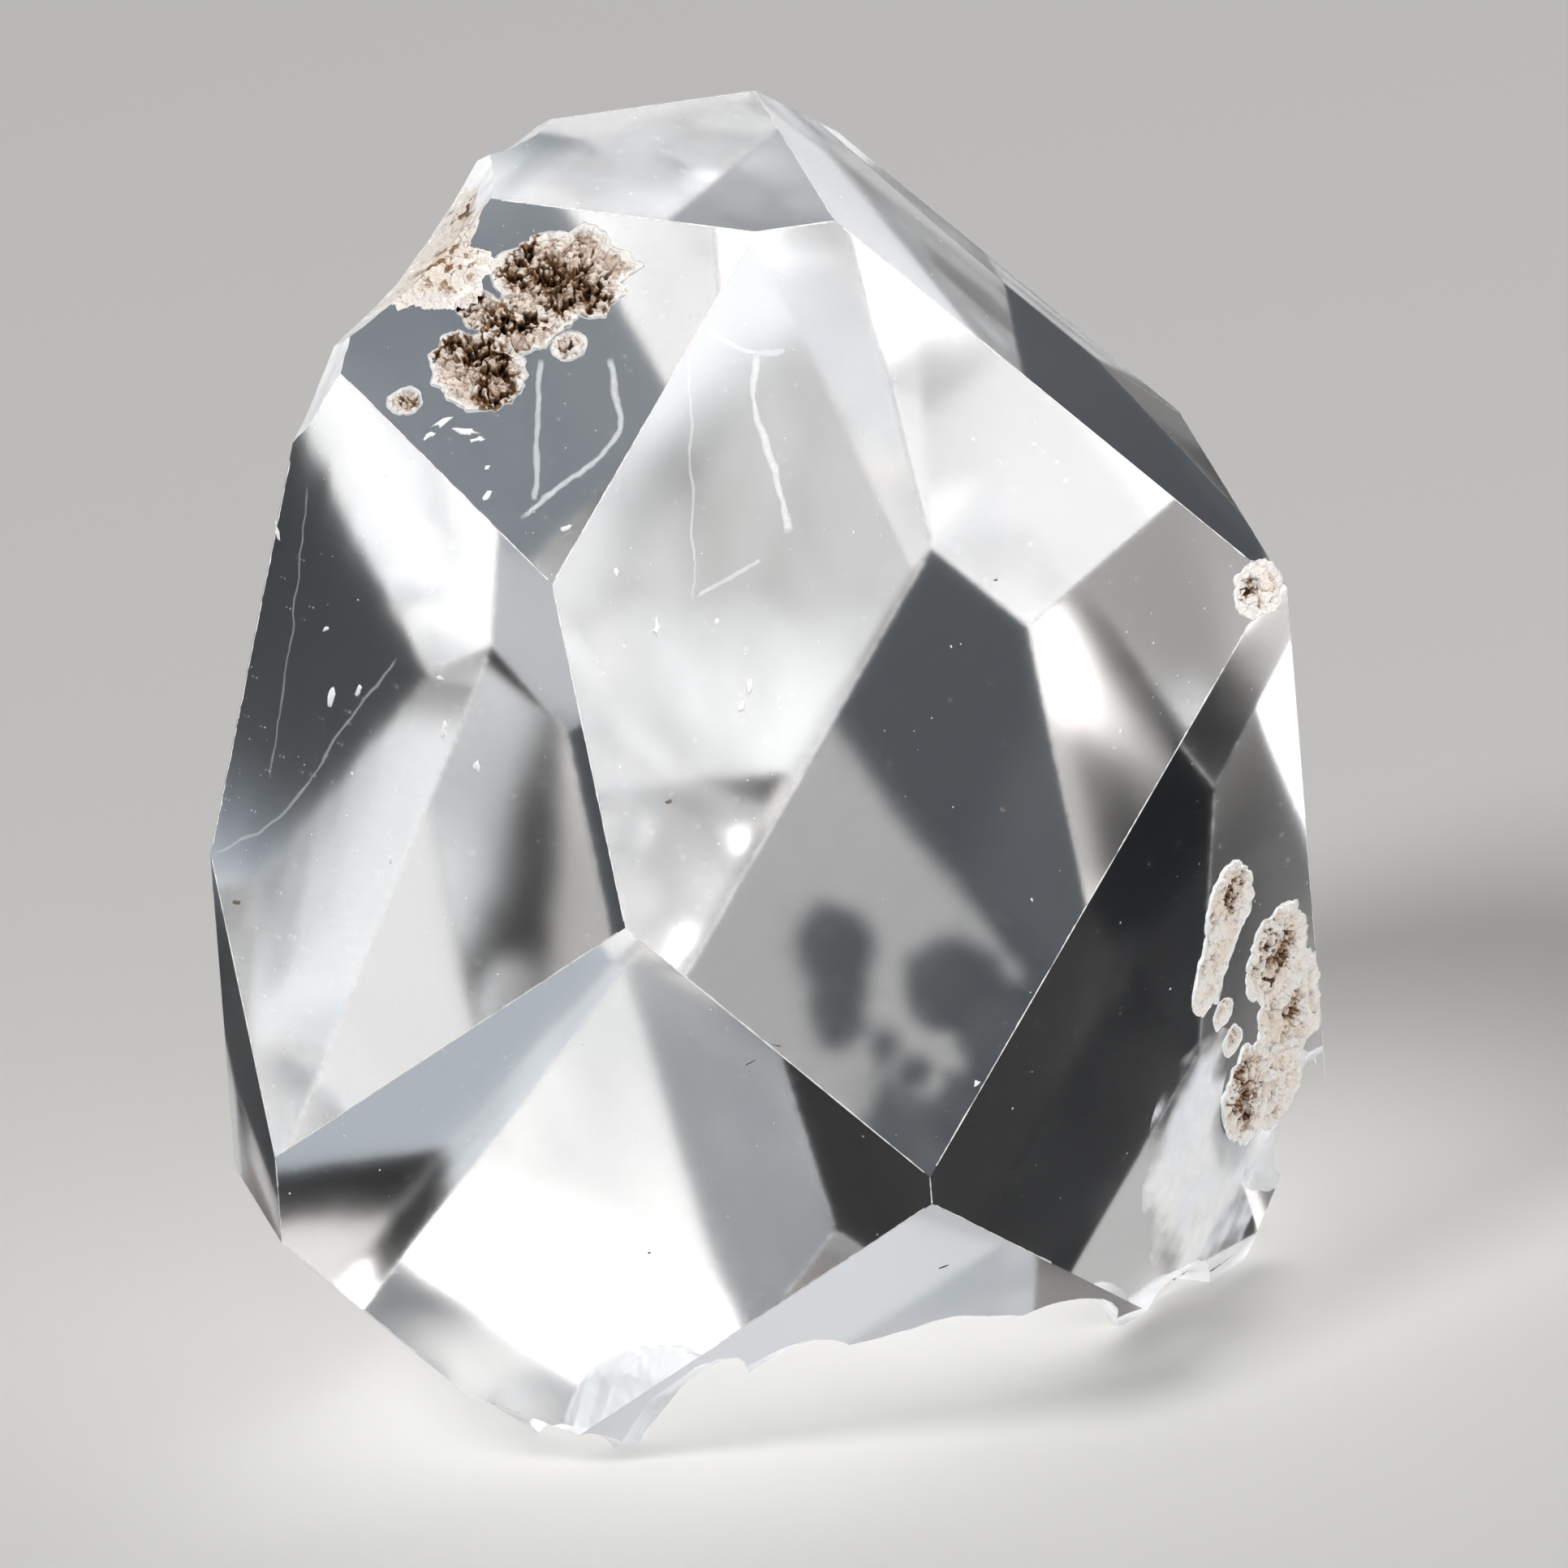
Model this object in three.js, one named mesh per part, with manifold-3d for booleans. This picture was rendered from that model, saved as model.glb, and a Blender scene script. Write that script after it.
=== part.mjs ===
// A herkimer diamond: one clear quartz crystal with six prism faces and a point at each end.
// It lies tilted on the broken stump of one point. Two corners are knocked off as well, and
// crusts of the dolomite that it grew in are left in pits of its faces.
import * as THREE from "three";
import { ConvexGeometry } from "three/addons/geometries/ConvexGeometry.js";
import { mergeVertices } from "three/addons/utils/BufferGeometryUtils.js";
import Module from "manifold-3d";

const wasm = await Module();
wasm.setup();

// Everything is in millimetres and degrees. Places are measured from the crystal's middle, which
// lies REST above what it stands on.
const REST = 12.65;

// Quartz's own angles: prism faces stand every 60 degrees round the c axis, and a point face leans
// in over each of them by the ratio of the crystal's axes.
const AXIS_RATIO = 1.1;
const FACE_STEP = 60;
const POINT_LEAN = Math.atan((AXIS_RATIO * 2) / Math.sqrt(3)); // from the c axis to a point face's normal

// How the crystal lies: turned about its c axis, tilted, then turned on the surface below it.
const SPIN = -115.62;
const TILT = 139.05;
const HEADING = 13.63;

// Each face's distance from the middle. The point face with none is lost to the break it rests on.
const PRISM = [8.99, 11.48, 13.68, 10.4, 12.24, 11.54];
const UPPER = [9.28, 11.6, null, 13.85, 12.28, 11.6];
const LOWER = [14.28, 12.68, 13.23, 7.35, 13.69, 15.33];

// Scallops of the break at the foot and of the side above it. Each is hollowed out round a place on
// a face, given across the face and by its height over the foot, with half sizes across the face,
// back from it and up.
const SCALLOPS = [
  { face: "u1", across: -0.5, height: 0, size: [4.9, 6.8, 2.05] },
  { face: "u1", across: -4.75, height: 0, size: [1.12, 5.6, 3.1] },
  { face: "u1", across: -2.7, height: 0, size: [1.7, 5.4, 2.95] },
  { face: "u1", across: 0.6, height: 0, size: [2.2, 5.0, 2.35] },
  { face: "u1", across: 3.6, height: 0, size: [1.9, 4.0, 1.75] },
  { face: "u0", across: 4.15, height: 0, size: [1.45, 5.0, 0.85] },
  { face: "m1", across: -4.75, height: 0, size: [1.1, 4.0, 1.15] },
  { face: "u0", across: 9.8, height: 2.5, size: [1.95, 6.0, 1.6] },
];

// Shell-shaped breaks: a ball of the given radius, whose surface passes the given place facing
// outwards in the given direction, takes off what lies inside it.
const BREAKS = {
  crusted_corner: { at: [-5.9, -3.9, 15.3], facing: [-0.63, 0.11, 0.77], radius: 14 },
  glassy_corner: { at: [-8.5, -6.1, 13.65], facing: [-0.85, -0.1, 0.5], radius: 9 },
  top_corner: { at: [-3.9, -0.6, 16.35], facing: [-0.35, 0.35, 0.87], radius: 7 },
  foot_left: { at: [-7.0, -6.3, -11.15], facing: [-0.45, -0.3, -0.82], radius: 16 },
  foot_right: { at: [10.0, 2.75, -11.6], facing: [0.72, 0.3, -0.62], radius: 14 },
};

// Pits, and the crust that fills each: place on the face (across, up), half width, half height,
// depth and turn. The crust keeps CLEARANCE to its pit and lies SUNK below the face, but for the
// dolomite rhombs that stand up out of it.
const CLEARANCE = 0.12;
const SUNK = 0.1;
const PROUD = 0.06; // how far the rhombs may stand out of the face
const RHOMB_SIZE = 0.42;
const CRUSTS = {
  upper_crust: [
    { face: "l0", at: [-3.45, 7.05], size: [1.5, 1.2, 1.0], turn: 8 },
    { face: "l0", at: [-4.35, 6.05], size: [1.1, 0.65, 0.7], turn: 20 },
    { face: "l0", at: [-5.55, 5.1], size: [1.1, 0.95, 0.9], turn: -20 },
    { face: "l0", at: [-5.3, 6.5], size: [0.6, 0.5, 0.6], turn: -30 },
  ],
  upper_grain_left: [{ face: "l0", at: [-7.25, 4.6], size: [0.42, 0.32, 0.4], turn: 20 }],
  upper_grain_right: [{ face: "l0", at: [-3.5, 5.45], size: [0.4, 0.35, 0.4], turn: 0 }],
  side_crust_inner: [
    { face: "u0", at: [4.5, -0.8], size: [0.95, 1.0, 0.8], turn: 20 },
    { face: "u0", at: [4.1, -2.2], size: [0.75, 1.15, 0.7], turn: -15 },
  ],
  side_crust_outer: [
    { face: "u0", at: [6.95, -3.0], size: [1.2, 1.15, 0.9], turn: 0 },
    { face: "u0", at: [7.9, -4.9], size: [1.35, 1.5, 0.9], turn: 20 },
    { face: "u0", at: [6.4, -6.3], size: [1.0, 1.3, 0.8], turn: 10 },
    { face: "u0", at: [7.7, -6.6], size: [1.2, 1.1, 0.8], turn: 0 },
  ],
  side_grain_upper: [{ face: "u0", at: [4.75, -3.7], size: [0.42, 0.36, 0.4], turn: 30 }],
  side_grain_lower: [{ face: "u0", at: [5.35, -4.6], size: [0.4, 0.38, 0.4], turn: 0 }],
  shoulder_crust: [{ face: "m0", at: [8.2, 2.15], size: [0.75, 0.6, 0.6], turn: 35 }],
};

// Crust on the corner that broke there: lumps along the break, each with its rhombs.
const EDGE_CRUST = {
  from: [-6.75, -4.4, 14.7],
  to: [-4.75, -2.9, 16.3],
  lumps: 5,
  size: [0.62, 0.95, 0.34],
  waver: 0.3,
};

const GOLDEN_ANGLE = Math.PI * (3 - Math.sqrt(5));

const CLEAR_QUARTZ = { color: 0xe9eef2, roughness: 0.05, metalness: 0 };
const DOLOMITE = { color: 0xb79f86, roughness: 0.9, metalness: 0 };

// --- Frames and faces -------------------------------------------------------------------------

const UP = new THREE.Vector3(0, 0, 1);
const ALONG_Y = new THREE.Vector3(0, 1, 0);

const lie = new THREE.Quaternion()
  .setFromAxisAngle(UP, THREE.MathUtils.degToRad(HEADING))
  .multiply(new THREE.Quaternion().setFromAxisAngle(ALONG_Y, THREE.MathUtils.degToRad(TILT)))
  .multiply(new THREE.Quaternion().setFromAxisAngle(UP, THREE.MathUtils.degToRad(SPIN)));

// A crystal face as a plane: its outward normal, given by its angle from the c axis and its place
// in the round, and its distance from the middle.
function face(angle, place, distance) {
  const round = THREE.MathUtils.degToRad(FACE_STEP * place);
  const normal = new THREE.Vector3(
    Math.sin(angle) * Math.cos(round),
    Math.sin(angle) * Math.sin(round),
    Math.cos(angle),
  ).applyQuaternion(lie);
  return { normal, distance };
}

const FACES = { rest: { normal: new THREE.Vector3(0, 0, -1), distance: REST } };
for (const [letter, angle, distances] of [
  ["m", Math.PI / 2, PRISM],
  ["u", POINT_LEAN, UPPER],
  ["l", Math.PI - POINT_LEAN, LOWER],
]) {
  distances.forEach((distance, place) => {
    if (distance !== null) FACES[letter + place] = face(angle, place, distance);
  });
}

// The frame of a face: across it level, up it, and out of it, with its origin below the middle.
function faceFrame(name) {
  const { normal, distance } = FACES[name];
  const across = new THREE.Vector3().crossVectors(UP, normal).normalize();
  const up = new THREE.Vector3().crossVectors(normal, across);
  const origin = normal.clone().multiplyScalar(distance);
  return new THREE.Matrix4().makeBasis(across, up, normal).setPosition(origin);
}

// --- Solids -----------------------------------------------------------------------------------

// A closed three.js geometry as a solid that can be cut and joined.
function solid(geometry) {
  const bare = geometry.clone();
  bare.deleteAttribute("normal");
  bare.deleteAttribute("uv");
  const merged = mergeVertices(bare, 1e-4);
  return new wasm.Manifold(
    new wasm.Mesh({
      numProp: 3,
      vertProperties: new Float32Array(merged.attributes.position.array),
      triVerts: new Uint32Array(merged.index.array),
    }),
  );
}

// What all the faces shut in: every point where three of them meet and no other cuts it off.
function body(grown) {
  const planes = Object.values(FACES);
  const corners = [];
  const meeting = new THREE.Matrix3();
  for (let i = 0; i < planes.length; i++)
    for (let j = i + 1; j < planes.length; j++)
      for (let k = j + 1; k < planes.length; k++) {
        const three = [planes[i], planes[j], planes[k]];
        const [a, b, c] = three.map((plane) => plane.normal);
        meeting.set(a.x, a.y, a.z, b.x, b.y, b.z, c.x, c.y, c.z);
        if (Math.abs(meeting.determinant()) < 1e-6) continue;
        const distances = three.map((plane) => plane.distance + grown);
        const corner = new THREE.Vector3(...distances).applyMatrix3(meeting.invert());
        if (planes.every((p) => p.normal.dot(corner) <= p.distance + grown + 1e-6))
          corners.push(corner);
      }
  return solid(new ConvexGeometry(corners));
}

// A ball of the given fineness, stretched to three half sizes and put in place.
function ellipsoid(sizes, place, fineness) {
  const ball = new THREE.IcosahedronGeometry(1, fineness);
  ball.scale(...sizes);
  ball.applyMatrix4(place);
  return solid(ball);
}

function scallop({ face: name, across, height, size }) {
  const frame = faceFrame(name);
  const level = new THREE.Vector3().setFromMatrixColumn(frame, 0);
  const upFace = new THREE.Vector3().setFromMatrixColumn(frame, 1);
  const origin = new THREE.Vector3().setFromMatrixPosition(frame);
  const up = (height - REST - origin.z) / upFace.z;
  const middle = new THREE.Vector3(across, up, 0).applyMatrix4(frame);
  const back = new THREE.Vector3().crossVectors(UP, level);
  const place = new THREE.Matrix4().makeBasis(level, back, UP).setPosition(middle);
  return ellipsoid(size, place, 4);
}

function breakBall({ at, facing, radius }, shrink = 0) {
  const out = new THREE.Vector3(...facing).normalize();
  const centre = new THREE.Vector3(...at).addScaledVector(out, radius);
  const place = new THREE.Matrix4().setPosition(centre);
  const size = radius - shrink;
  return ellipsoid([size, size, size], place, Math.round(0.6 * radius) + 2);
}

// One lump of a pit or its crust, in its place and smaller by the given amount.
function lump(place, size, shrink) {
  const sizes = size.map((half) => half - shrink);
  return ellipsoid(sizes, place, Math.ceil(1.6 * size[0]));
}

function onFace({ face: name, at, turn }) {
  return faceFrame(name)
    .multiply(new THREE.Matrix4().makeTranslation(at[0], at[1], 0))
    .multiply(new THREE.Matrix4().makeRotationZ(THREE.MathUtils.degToRad(turn)));
}

// The rhombs of a lump, spread over it like seeds in a sunflower and each turned its own way.
function rhombs(place, size) {
  const count = 1 + Math.round(4 * size[0]);
  return Array.from({ length: count }, (_, i) => {
    const reach = 0.8 * Math.sqrt((i + 0.5) / count);
    const round = i * GOLDEN_ANGLE;
    const edge = RHOMB_SIZE * (1 + 0.3 * Math.cos(5 * i)) * Math.min(1, size[0]);
    const rhomb = new THREE.BoxGeometry(edge, edge, edge);
    rhomb.applyMatrix4(new THREE.Matrix4().makeShear(0.25, 0, 0, 0.25, 0, 0));
    rhomb.rotateX(1.3 * i);
    rhomb.rotateY(2.1 * i);
    const x = size[0] * reach * Math.cos(round);
    const y = size[1] * reach * Math.sin(round);
    rhomb.translate(x, y, 0.05 * Math.sin(3 * i) - 0.1);
    rhomb.applyMatrix4(place);
    return solid(rhomb);
  });
}

function together(solids) {
  return solids.reduce((all, one) => all.add(one));
}

// All that the breaks take off.
const broken = together([
  ...SCALLOPS.map(scallop),
  ...Object.values(BREAKS).map((one) => breakBall(one)),
]);

function crust(lumps) {
  const filling = together(lumps.map((one) => lump(onFace(one), one.size, CLEARANCE)));
  const standing = together(lumps.flatMap((one) => rhombs(onFace(one), one.size)));
  return filling
    .intersect(body(-SUNK))
    .add(filling.intersect(standing).intersect(body(PROUD)))
    .subtract(broken);
}

function edgeCrust() {
  const from = new THREE.Vector3(...EDGE_CRUST.from);
  const to = new THREE.Vector3(...EDGE_CRUST.to);
  const along = to.clone().sub(from).normalize();
  const out = new THREE.Vector3(...BREAKS.crusted_corner.facing).normalize();
  const across = new THREE.Vector3().crossVectors(out, along).normalize();
  const normal = new THREE.Vector3().crossVectors(along, across);
  const places = Array.from({ length: EDGE_CRUST.lumps }, (_, i) => {
    const middle = from.clone().lerp(to, i / (EDGE_CRUST.lumps - 1));
    middle.addScaledVector(across, EDGE_CRUST.waver * Math.sin(2.2 * i));
    return new THREE.Matrix4().makeBasis(along, across, normal).setPosition(middle);
  });
  const { size } = EDGE_CRUST;
  const filling = together(places.map((place) => lump(place, size, 0)));
  const standing = together(places.flatMap((place) => rhombs(place, size)));
  const shell = breakBall(BREAKS.crusted_corner, CLEARANCE);
  return filling.add(standing).intersect(shell);
}

// --- The part ---------------------------------------------------------------------------------

const pits = Object.values(CRUSTS).flat();
const crystal = body(0)
  .subtract(broken)
  .subtract(together(pits.map((one) => lump(onFace(one), one.size, 0))));

const herkimer = new THREE.Group();
herkimer.name = "herkimer_diamond";

// The origin is below the middle of the crystal's box, on the surface that it stands on.
const { min, max } = crystal.boundingBox();
herkimer.position.set(-(min[0] + max[0]) / 2, -(min[1] + max[1]) / 2, -min[2]);

function addPiece(name, made, look) {
  const { numProp, vertProperties, triVerts } = made.getMesh();
  const geometry = new THREE.BufferGeometry();
  geometry.setAttribute("position", new THREE.BufferAttribute(vertProperties, numProp));
  geometry.setIndex(new THREE.BufferAttribute(triVerts, 1));
  const material = new THREE.MeshStandardMaterial({ ...look, flatShading: true });
  const mesh = new THREE.Mesh(geometry, material);
  mesh.name = name;
  herkimer.add(mesh);
}

addPiece("crystal", crystal, { ...CLEAR_QUARTZ, transparent: true, opacity: 0.45 });
for (const [name, lumps] of Object.entries(CRUSTS)) addPiece(name, crust(lumps), DOLOMITE);
addPiece("edge_crust", edgeCrust(), DOLOMITE);

export default herkimer;
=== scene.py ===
"""Gives the herkimer diamond its looks: clear quartz with shell-shaped breaks, crusts of dolomite in
its pits, healed cracks, inclusions and worn edges with painted highlights, on a pale floor in soft
studio light.

Lengths are worked out in millimetres in the part's own frame and put into the meshes in metres."""

import math

import bpy
import numpy as np
from mathutils import Matrix


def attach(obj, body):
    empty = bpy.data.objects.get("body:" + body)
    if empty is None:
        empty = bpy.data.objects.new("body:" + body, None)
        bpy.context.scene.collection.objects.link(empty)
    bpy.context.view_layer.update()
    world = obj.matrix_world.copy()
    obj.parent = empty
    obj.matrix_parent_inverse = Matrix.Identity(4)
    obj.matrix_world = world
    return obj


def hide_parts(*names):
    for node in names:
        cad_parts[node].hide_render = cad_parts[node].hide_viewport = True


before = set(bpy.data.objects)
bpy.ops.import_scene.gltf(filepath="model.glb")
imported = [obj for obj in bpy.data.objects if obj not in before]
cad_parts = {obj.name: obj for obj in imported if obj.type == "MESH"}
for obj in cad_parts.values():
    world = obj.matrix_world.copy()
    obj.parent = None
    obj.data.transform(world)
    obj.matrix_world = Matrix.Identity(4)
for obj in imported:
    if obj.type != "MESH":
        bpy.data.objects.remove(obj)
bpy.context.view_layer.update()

bl_info = {
    "name": "Herkimer Diamond",
    "version": (1, 0, 0),
    "blender": (4, 5, 0),
    "location": "View3D > Sidebar > Herkimer",
    "description": "Clear quartz crystal with dolomite crusts, healed cracks and broken corners",
    "category": "Object",
}

MM = 0.001
UP = np.array([0.0, 0.0, 1.0])
# Farther from a face's middle than any place on it.
FACE_REACH = 16.0
# Quartz's c axis over its a axis.
AXIAL_RATIO = 1.1
# Dust, edge bruises with their painted highlights, and the cloudy patch keep this far from a break, and
# dust and edge bruises start above the foot's scallops.
BREAK_MARGIN = 0.2
FOOT_TOP = 3.3
# Dust and the edge bruises with their painted highlights keep this far from a pit, and the cloudy patch
# from a pit and from a face.
DUST_MARGIN = 0.1
CLOUD_MARGIN = 0.15
# How far a crust's rim lies under its face, and how much smaller its lump is than the pit.
CRUST_RIM = -0.015
CRUST_GAP = 0.04
# How far apart a crust's rings of points are, and the points of its outermost ring.
CRUST_RING = 0.033
CRUST_SPOKE = 0.037

# --- The crystal's own geometry, as in the part's source --------------------------------------

# How far below the crystal's middle it rests.
REST = 12.65
# The angle between the normal of a point's face and the c axis.
POINT_LEAN = math.atan(2 * AXIAL_RATIO / math.sqrt(3))
# The crystal's turn about its c axis, that axis's tilt from upright, and the way it tilts.
SPIN, TILT, HEADING = -115.62, 139.05, 13.63
# How far from the middle the six prism faces are, and the faces of the two points. A face that
# isn't there has no distance.
PRISM = (8.99, 11.48, 13.68, 10.4, 12.24, 11.54)
UPPER = (9.28, 11.6, None, 13.85, 12.28, 11.6)
LOWER = (14.28, 12.68, 13.23, 7.35, 13.69, 15.33)

# Scallops of the break at the foot: face, place across it, height over the foot, half sizes
# across the face, back from it and up.
SCALLOPS = (
    ("u1", -0.5, 0, (4.9, 6.8, 2.05)),
    ("u1", -4.75, 0, (1.12, 5.6, 3.1)),
    ("u1", -2.7, 0, (1.7, 5.4, 2.95)),
    ("u1", 0.6, 0, (2.2, 5.0, 2.35)),
    ("u1", 3.6, 0, (1.9, 4.0, 1.75)),
    ("u0", 4.15, 0, (1.45, 5.0, 0.85)),
    ("m1", -4.75, 0, (1.1, 4.0, 1.15)),
    ("u0", 9.8, 2.5, (1.95, 6.0, 1.6)),
)

# Shell-shaped breaks: a place on the ball's surface, the way it faces and the ball's radius.
BREAKS = {
    "crusted_corner": ((-5.9, -3.9, 15.3), (-0.63, 0.11, 0.77), 14),
    "glassy_corner": ((-8.5, -6.1, 13.65), (-0.85, -0.1, 0.5), 9),
    "top_corner": ((-3.9, -0.6, 16.35), (-0.35, 0.35, 0.87), 7),
    "foot_left": ((-7.0, -6.3, -11.15), (-0.45, -0.3, -0.82), 16),
    "foot_right": ((10.0, 2.75, -11.6), (0.72, 0.3, -0.62), 14),
}

# Pits and their crusts: face, place on it (across, up), half width, half height and depth, turn.
CRUSTS = {
    "upper_crust": (
        ("l0", (-3.45, 7.05), (1.5, 1.2, 1.0), 8),
        ("l0", (-4.35, 6.05), (1.1, 0.65, 0.7), 20),
        ("l0", (-5.55, 5.1), (1.1, 0.95, 0.9), -20),
        ("l0", (-5.3, 6.5), (0.6, 0.5, 0.6), -30),
    ),
    "upper_grain_left": (("l0", (-7.25, 4.6), (0.42, 0.32, 0.4), 20),),
    "upper_grain_right": (("l0", (-3.5, 5.45), (0.4, 0.35, 0.4), 0),),
    "side_crust_inner": (
        ("u0", (4.5, -0.8), (0.95, 1.0, 0.8), 20),
        ("u0", (4.1, -2.2), (0.75, 1.15, 0.7), -15),
    ),
    "side_crust_outer": (
        ("u0", (6.95, -3.0), (1.2, 1.15, 0.9), 0),
        ("u0", (7.9, -4.9), (1.35, 1.5, 0.9), 20),
        ("u0", (6.4, -6.3), (1.0, 1.3, 0.8), 10),
        ("u0", (7.7, -6.6), (1.2, 1.1, 0.8), 0),
    ),
    "side_grain_upper": (("u0", (4.75, -3.7), (0.42, 0.36, 0.4), 30),),
    "side_grain_lower": (("u0", (5.35, -4.6), (0.4, 0.38, 0.4), 0),),
    "shoulder_crust": (("m0", (8.2, 2.15), (0.75, 0.6, 0.6), 35),),
}
LUMPS = [lump for lumps in CRUSTS.values() for lump in lumps]
# How much paler the side crusts are than the upper ones.
PALE = 0.4
# The bruised crust on the broken corner: the middle of it on its face, and how far it reaches in
# millimetres at each angle in degrees round that.
EDGE_CRUST_FACE = "l0"
EDGE_CRUST_MIDDLE = (-5.9, 7.8)
EDGE_CRUST_REACH = (
    (-170, 2.1), (-156, 1.9), (-150, 1.65), (-129, 1.28), (-100, 1.15), (-63, 1.2), (-45, 0.92),
    (-13, 1.08), (10, 0.9), (29, 0.65), (47, 1.1), (52, 1.75), (60, 1.5), (68, 2.5), (78, 2.8),
    (95, 2.6), (110, 2.5), (139, 2.4), (160, 2.4), (180, 2.4),
)
# Where brown specks gather in it, and how far they spread.
EDGE_CRUST_SPECKS = (((-5.95, 7.75), 1.0), ((-5.3, 9.6), 0.4))
# Brown stains in the crusts: face, place on it and reach.
STAINS = (
    ("l0", (-4.1, 7.87), 0.3), ("l0", (-4.4, 7.36), 0.28), ("l0", (-3.74, 7.15), 0.3),
    ("l0", (-3.46, 6.68), 0.38), ("l0", (-2.81, 6.53), 0.36), ("l0", (-2.95, 7.1), 0.2),
    ("l0", (-6.07, 5.75), 0.26), ("l0", (-5.4, 5.58), 0.36), ("l0", (-5.05, 5.18), 0.3),
    ("l0", (-5.26, 4.58), 0.34), ("l0", (-5.76, 6.7), 0.2), ("l0", (-5.47, 6.89), 0.22),
    ("l0", (-4.85, 6.22), 0.3), ("l0", (-4.32, 6.14), 0.22), ("l0", (-7.25, 4.6), 0.1),
    ("l0", (-3.5, 5.45), 0.1), ("u0", (4.7, -0.71), 0.3), ("u0", (7.01, -3.21), 0.5),
    ("u0", (6.55, -2.69), 0.25), ("u0", (6.0, -5.6), 0.3), ("u0", (6.29, -6.38), 0.45),
    ("u0", (6.5, -7.0), 0.25), ("u0", (8.07, -5.01), 0.2), ("m0", (7.93, 2.21), 0.12),
)


def turned(degrees, axis):
    return np.array(Matrix.Rotation(math.radians(degrees), 3, axis))


def unit(values):
    return values / np.linalg.norm(values, axis=-1, keepdims=True)


def vectors(items, name):
    """A vector of each vertex or polygon as one array."""
    values = np.zeros(len(items) * 3)
    items.foreach_get(name, values)
    return values.reshape(-1, 3)


def circle(count, start=0.0):
    """Angles evenly round a full turn."""
    return np.linspace(start, start + 2 * math.pi, count, endpoint=False)


def planes():
    """The faces' normals and distances as arrays."""
    return tuple(np.array(values) for values in zip(*FACES.values()))


LIE = turned(HEADING, "Z") @ turned(TILT, "Y") @ turned(SPIN, "Z")


def crystal_faces():
    """Each face's name with its outward normal and its distance from the middle. The normal stands
    at the face's angle from the c axis, 60 degrees round it from its neighbour."""
    faces = {"rest": (-UP, REST)}
    kinds = (("m", math.pi / 2, PRISM), ("u", POINT_LEAN, UPPER), ("l", math.pi - POINT_LEAN, LOWER))
    for letter, angle, distances in kinds:
        for place, distance in enumerate(distances):
            if distance is None:
                continue
            turn = math.radians(60 * place)
            own = (math.sin(angle) * math.cos(turn), math.sin(angle) * math.sin(turn), math.cos(angle))
            faces[f"{letter}{place}"] = (LIE @ np.array(own), distance)
    return faces


FACES = crystal_faces()


def crystal_middle():
    """The crystal's middle in the part's frame, in millimetres: the point from which the CAD
    crystal reaches as far along each face's normal as that face's distance says."""
    corners = vectors(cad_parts["crystal"].data.vertices, "co").astype(np.float32)
    normals, distances = planes()
    reach = (corners / MM @ normals.T).max(0)
    return np.linalg.lstsq(normals, reach - distances, rcond=None)[0]


MIDDLE = crystal_middle()


def face_axes(name):
    """A face's frame: its point nearest the middle, level across it, up it, and out of it."""
    normal, distance = FACES[name]
    across = unit(np.cross(UP, normal))
    return MIDDLE + normal * distance, across, np.cross(normal, across), normal


def on_face(name, across, up, out=0.0):
    origin, side, rise, normal = face_axes(name)
    across, up, out = (np.asarray(value, float)[..., None] for value in (across, up, out))
    return origin + across * side + up * rise + out * normal


def flat_on(name, points):
    """Where points lie across and up a face."""
    origin, side, rise, _ = face_axes(name)
    return np.stack([(points - origin) @ side, (points - origin) @ rise], -1)


# --- Surfaces worked out with numpy -----------------------------------------------------------


def waves(points, length, seed, octaves=4, fall=0.55):
    """Soft seeded relief between about -1 and 1: sine waves in random directions, six to an
    octave, where each octave's waves are half as long and `fall` times as high as the last's."""
    draw = np.random.default_rng(seed)
    total, height, full = np.zeros(points.shape[:-1]), 1.0, 0.0
    for octave in range(octaves):
        ways = unit(draw.normal(size=(6, 3)))
        phases = draw.uniform(0, 2 * math.pi, 6)
        steps = 2 * math.pi * 2**octave / length * (points @ ways.T)
        total += height * np.sin(steps + phases).mean(-1)
        full += height * 0.4
        height *= fall
    return total / full


def grains(places, spacing, seed):
    """Angular grains on a face: seeds jittered on a square grid, and for each place the number of
    its nearest seed, how much nearer that is than the next seed, and the offset from the seed.
    Only the nine seeds round a place are asked."""
    draw = np.random.default_rng(seed)
    count = int(2 * FACE_REACH / spacing) + 3
    jitter = draw.uniform(-0.45, 0.45, (count, count, 2))
    cell = np.rint((places + FACE_REACH) / spacing).astype(int)
    steps = np.array([(i, j) for i in (-1, 0, 1) for j in (-1, 0, 1)])
    near = cell[:, None] + steps
    seeds = spacing * (near + jitter[near[..., 0], near[..., 1]]) - FACE_REACH
    gaps = np.linalg.norm(places[:, None] - seeds, axis=2)
    order = gaps.argsort(1)
    row = np.arange(len(places))
    first, second = order[:, 0], order[:, 1]
    number = near[row, first, 0] * count + near[row, first, 1]
    return number, gaps[row, second] - gaps[row, first], places - seeds[row, first]


def grid_quads(rows, columns):
    """Quads of a grid of points that closes on itself along its columns."""
    row, column = np.meshgrid(np.arange(rows - 1), np.arange(columns), indexing="ij")
    after = (column + 1) % columns
    quads = (row * columns + column, row * columns + after,
             (row + 1) * columns + after, (row + 1) * columns + column)
    return np.stack(quads, -1).reshape(-1, 4)


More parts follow.
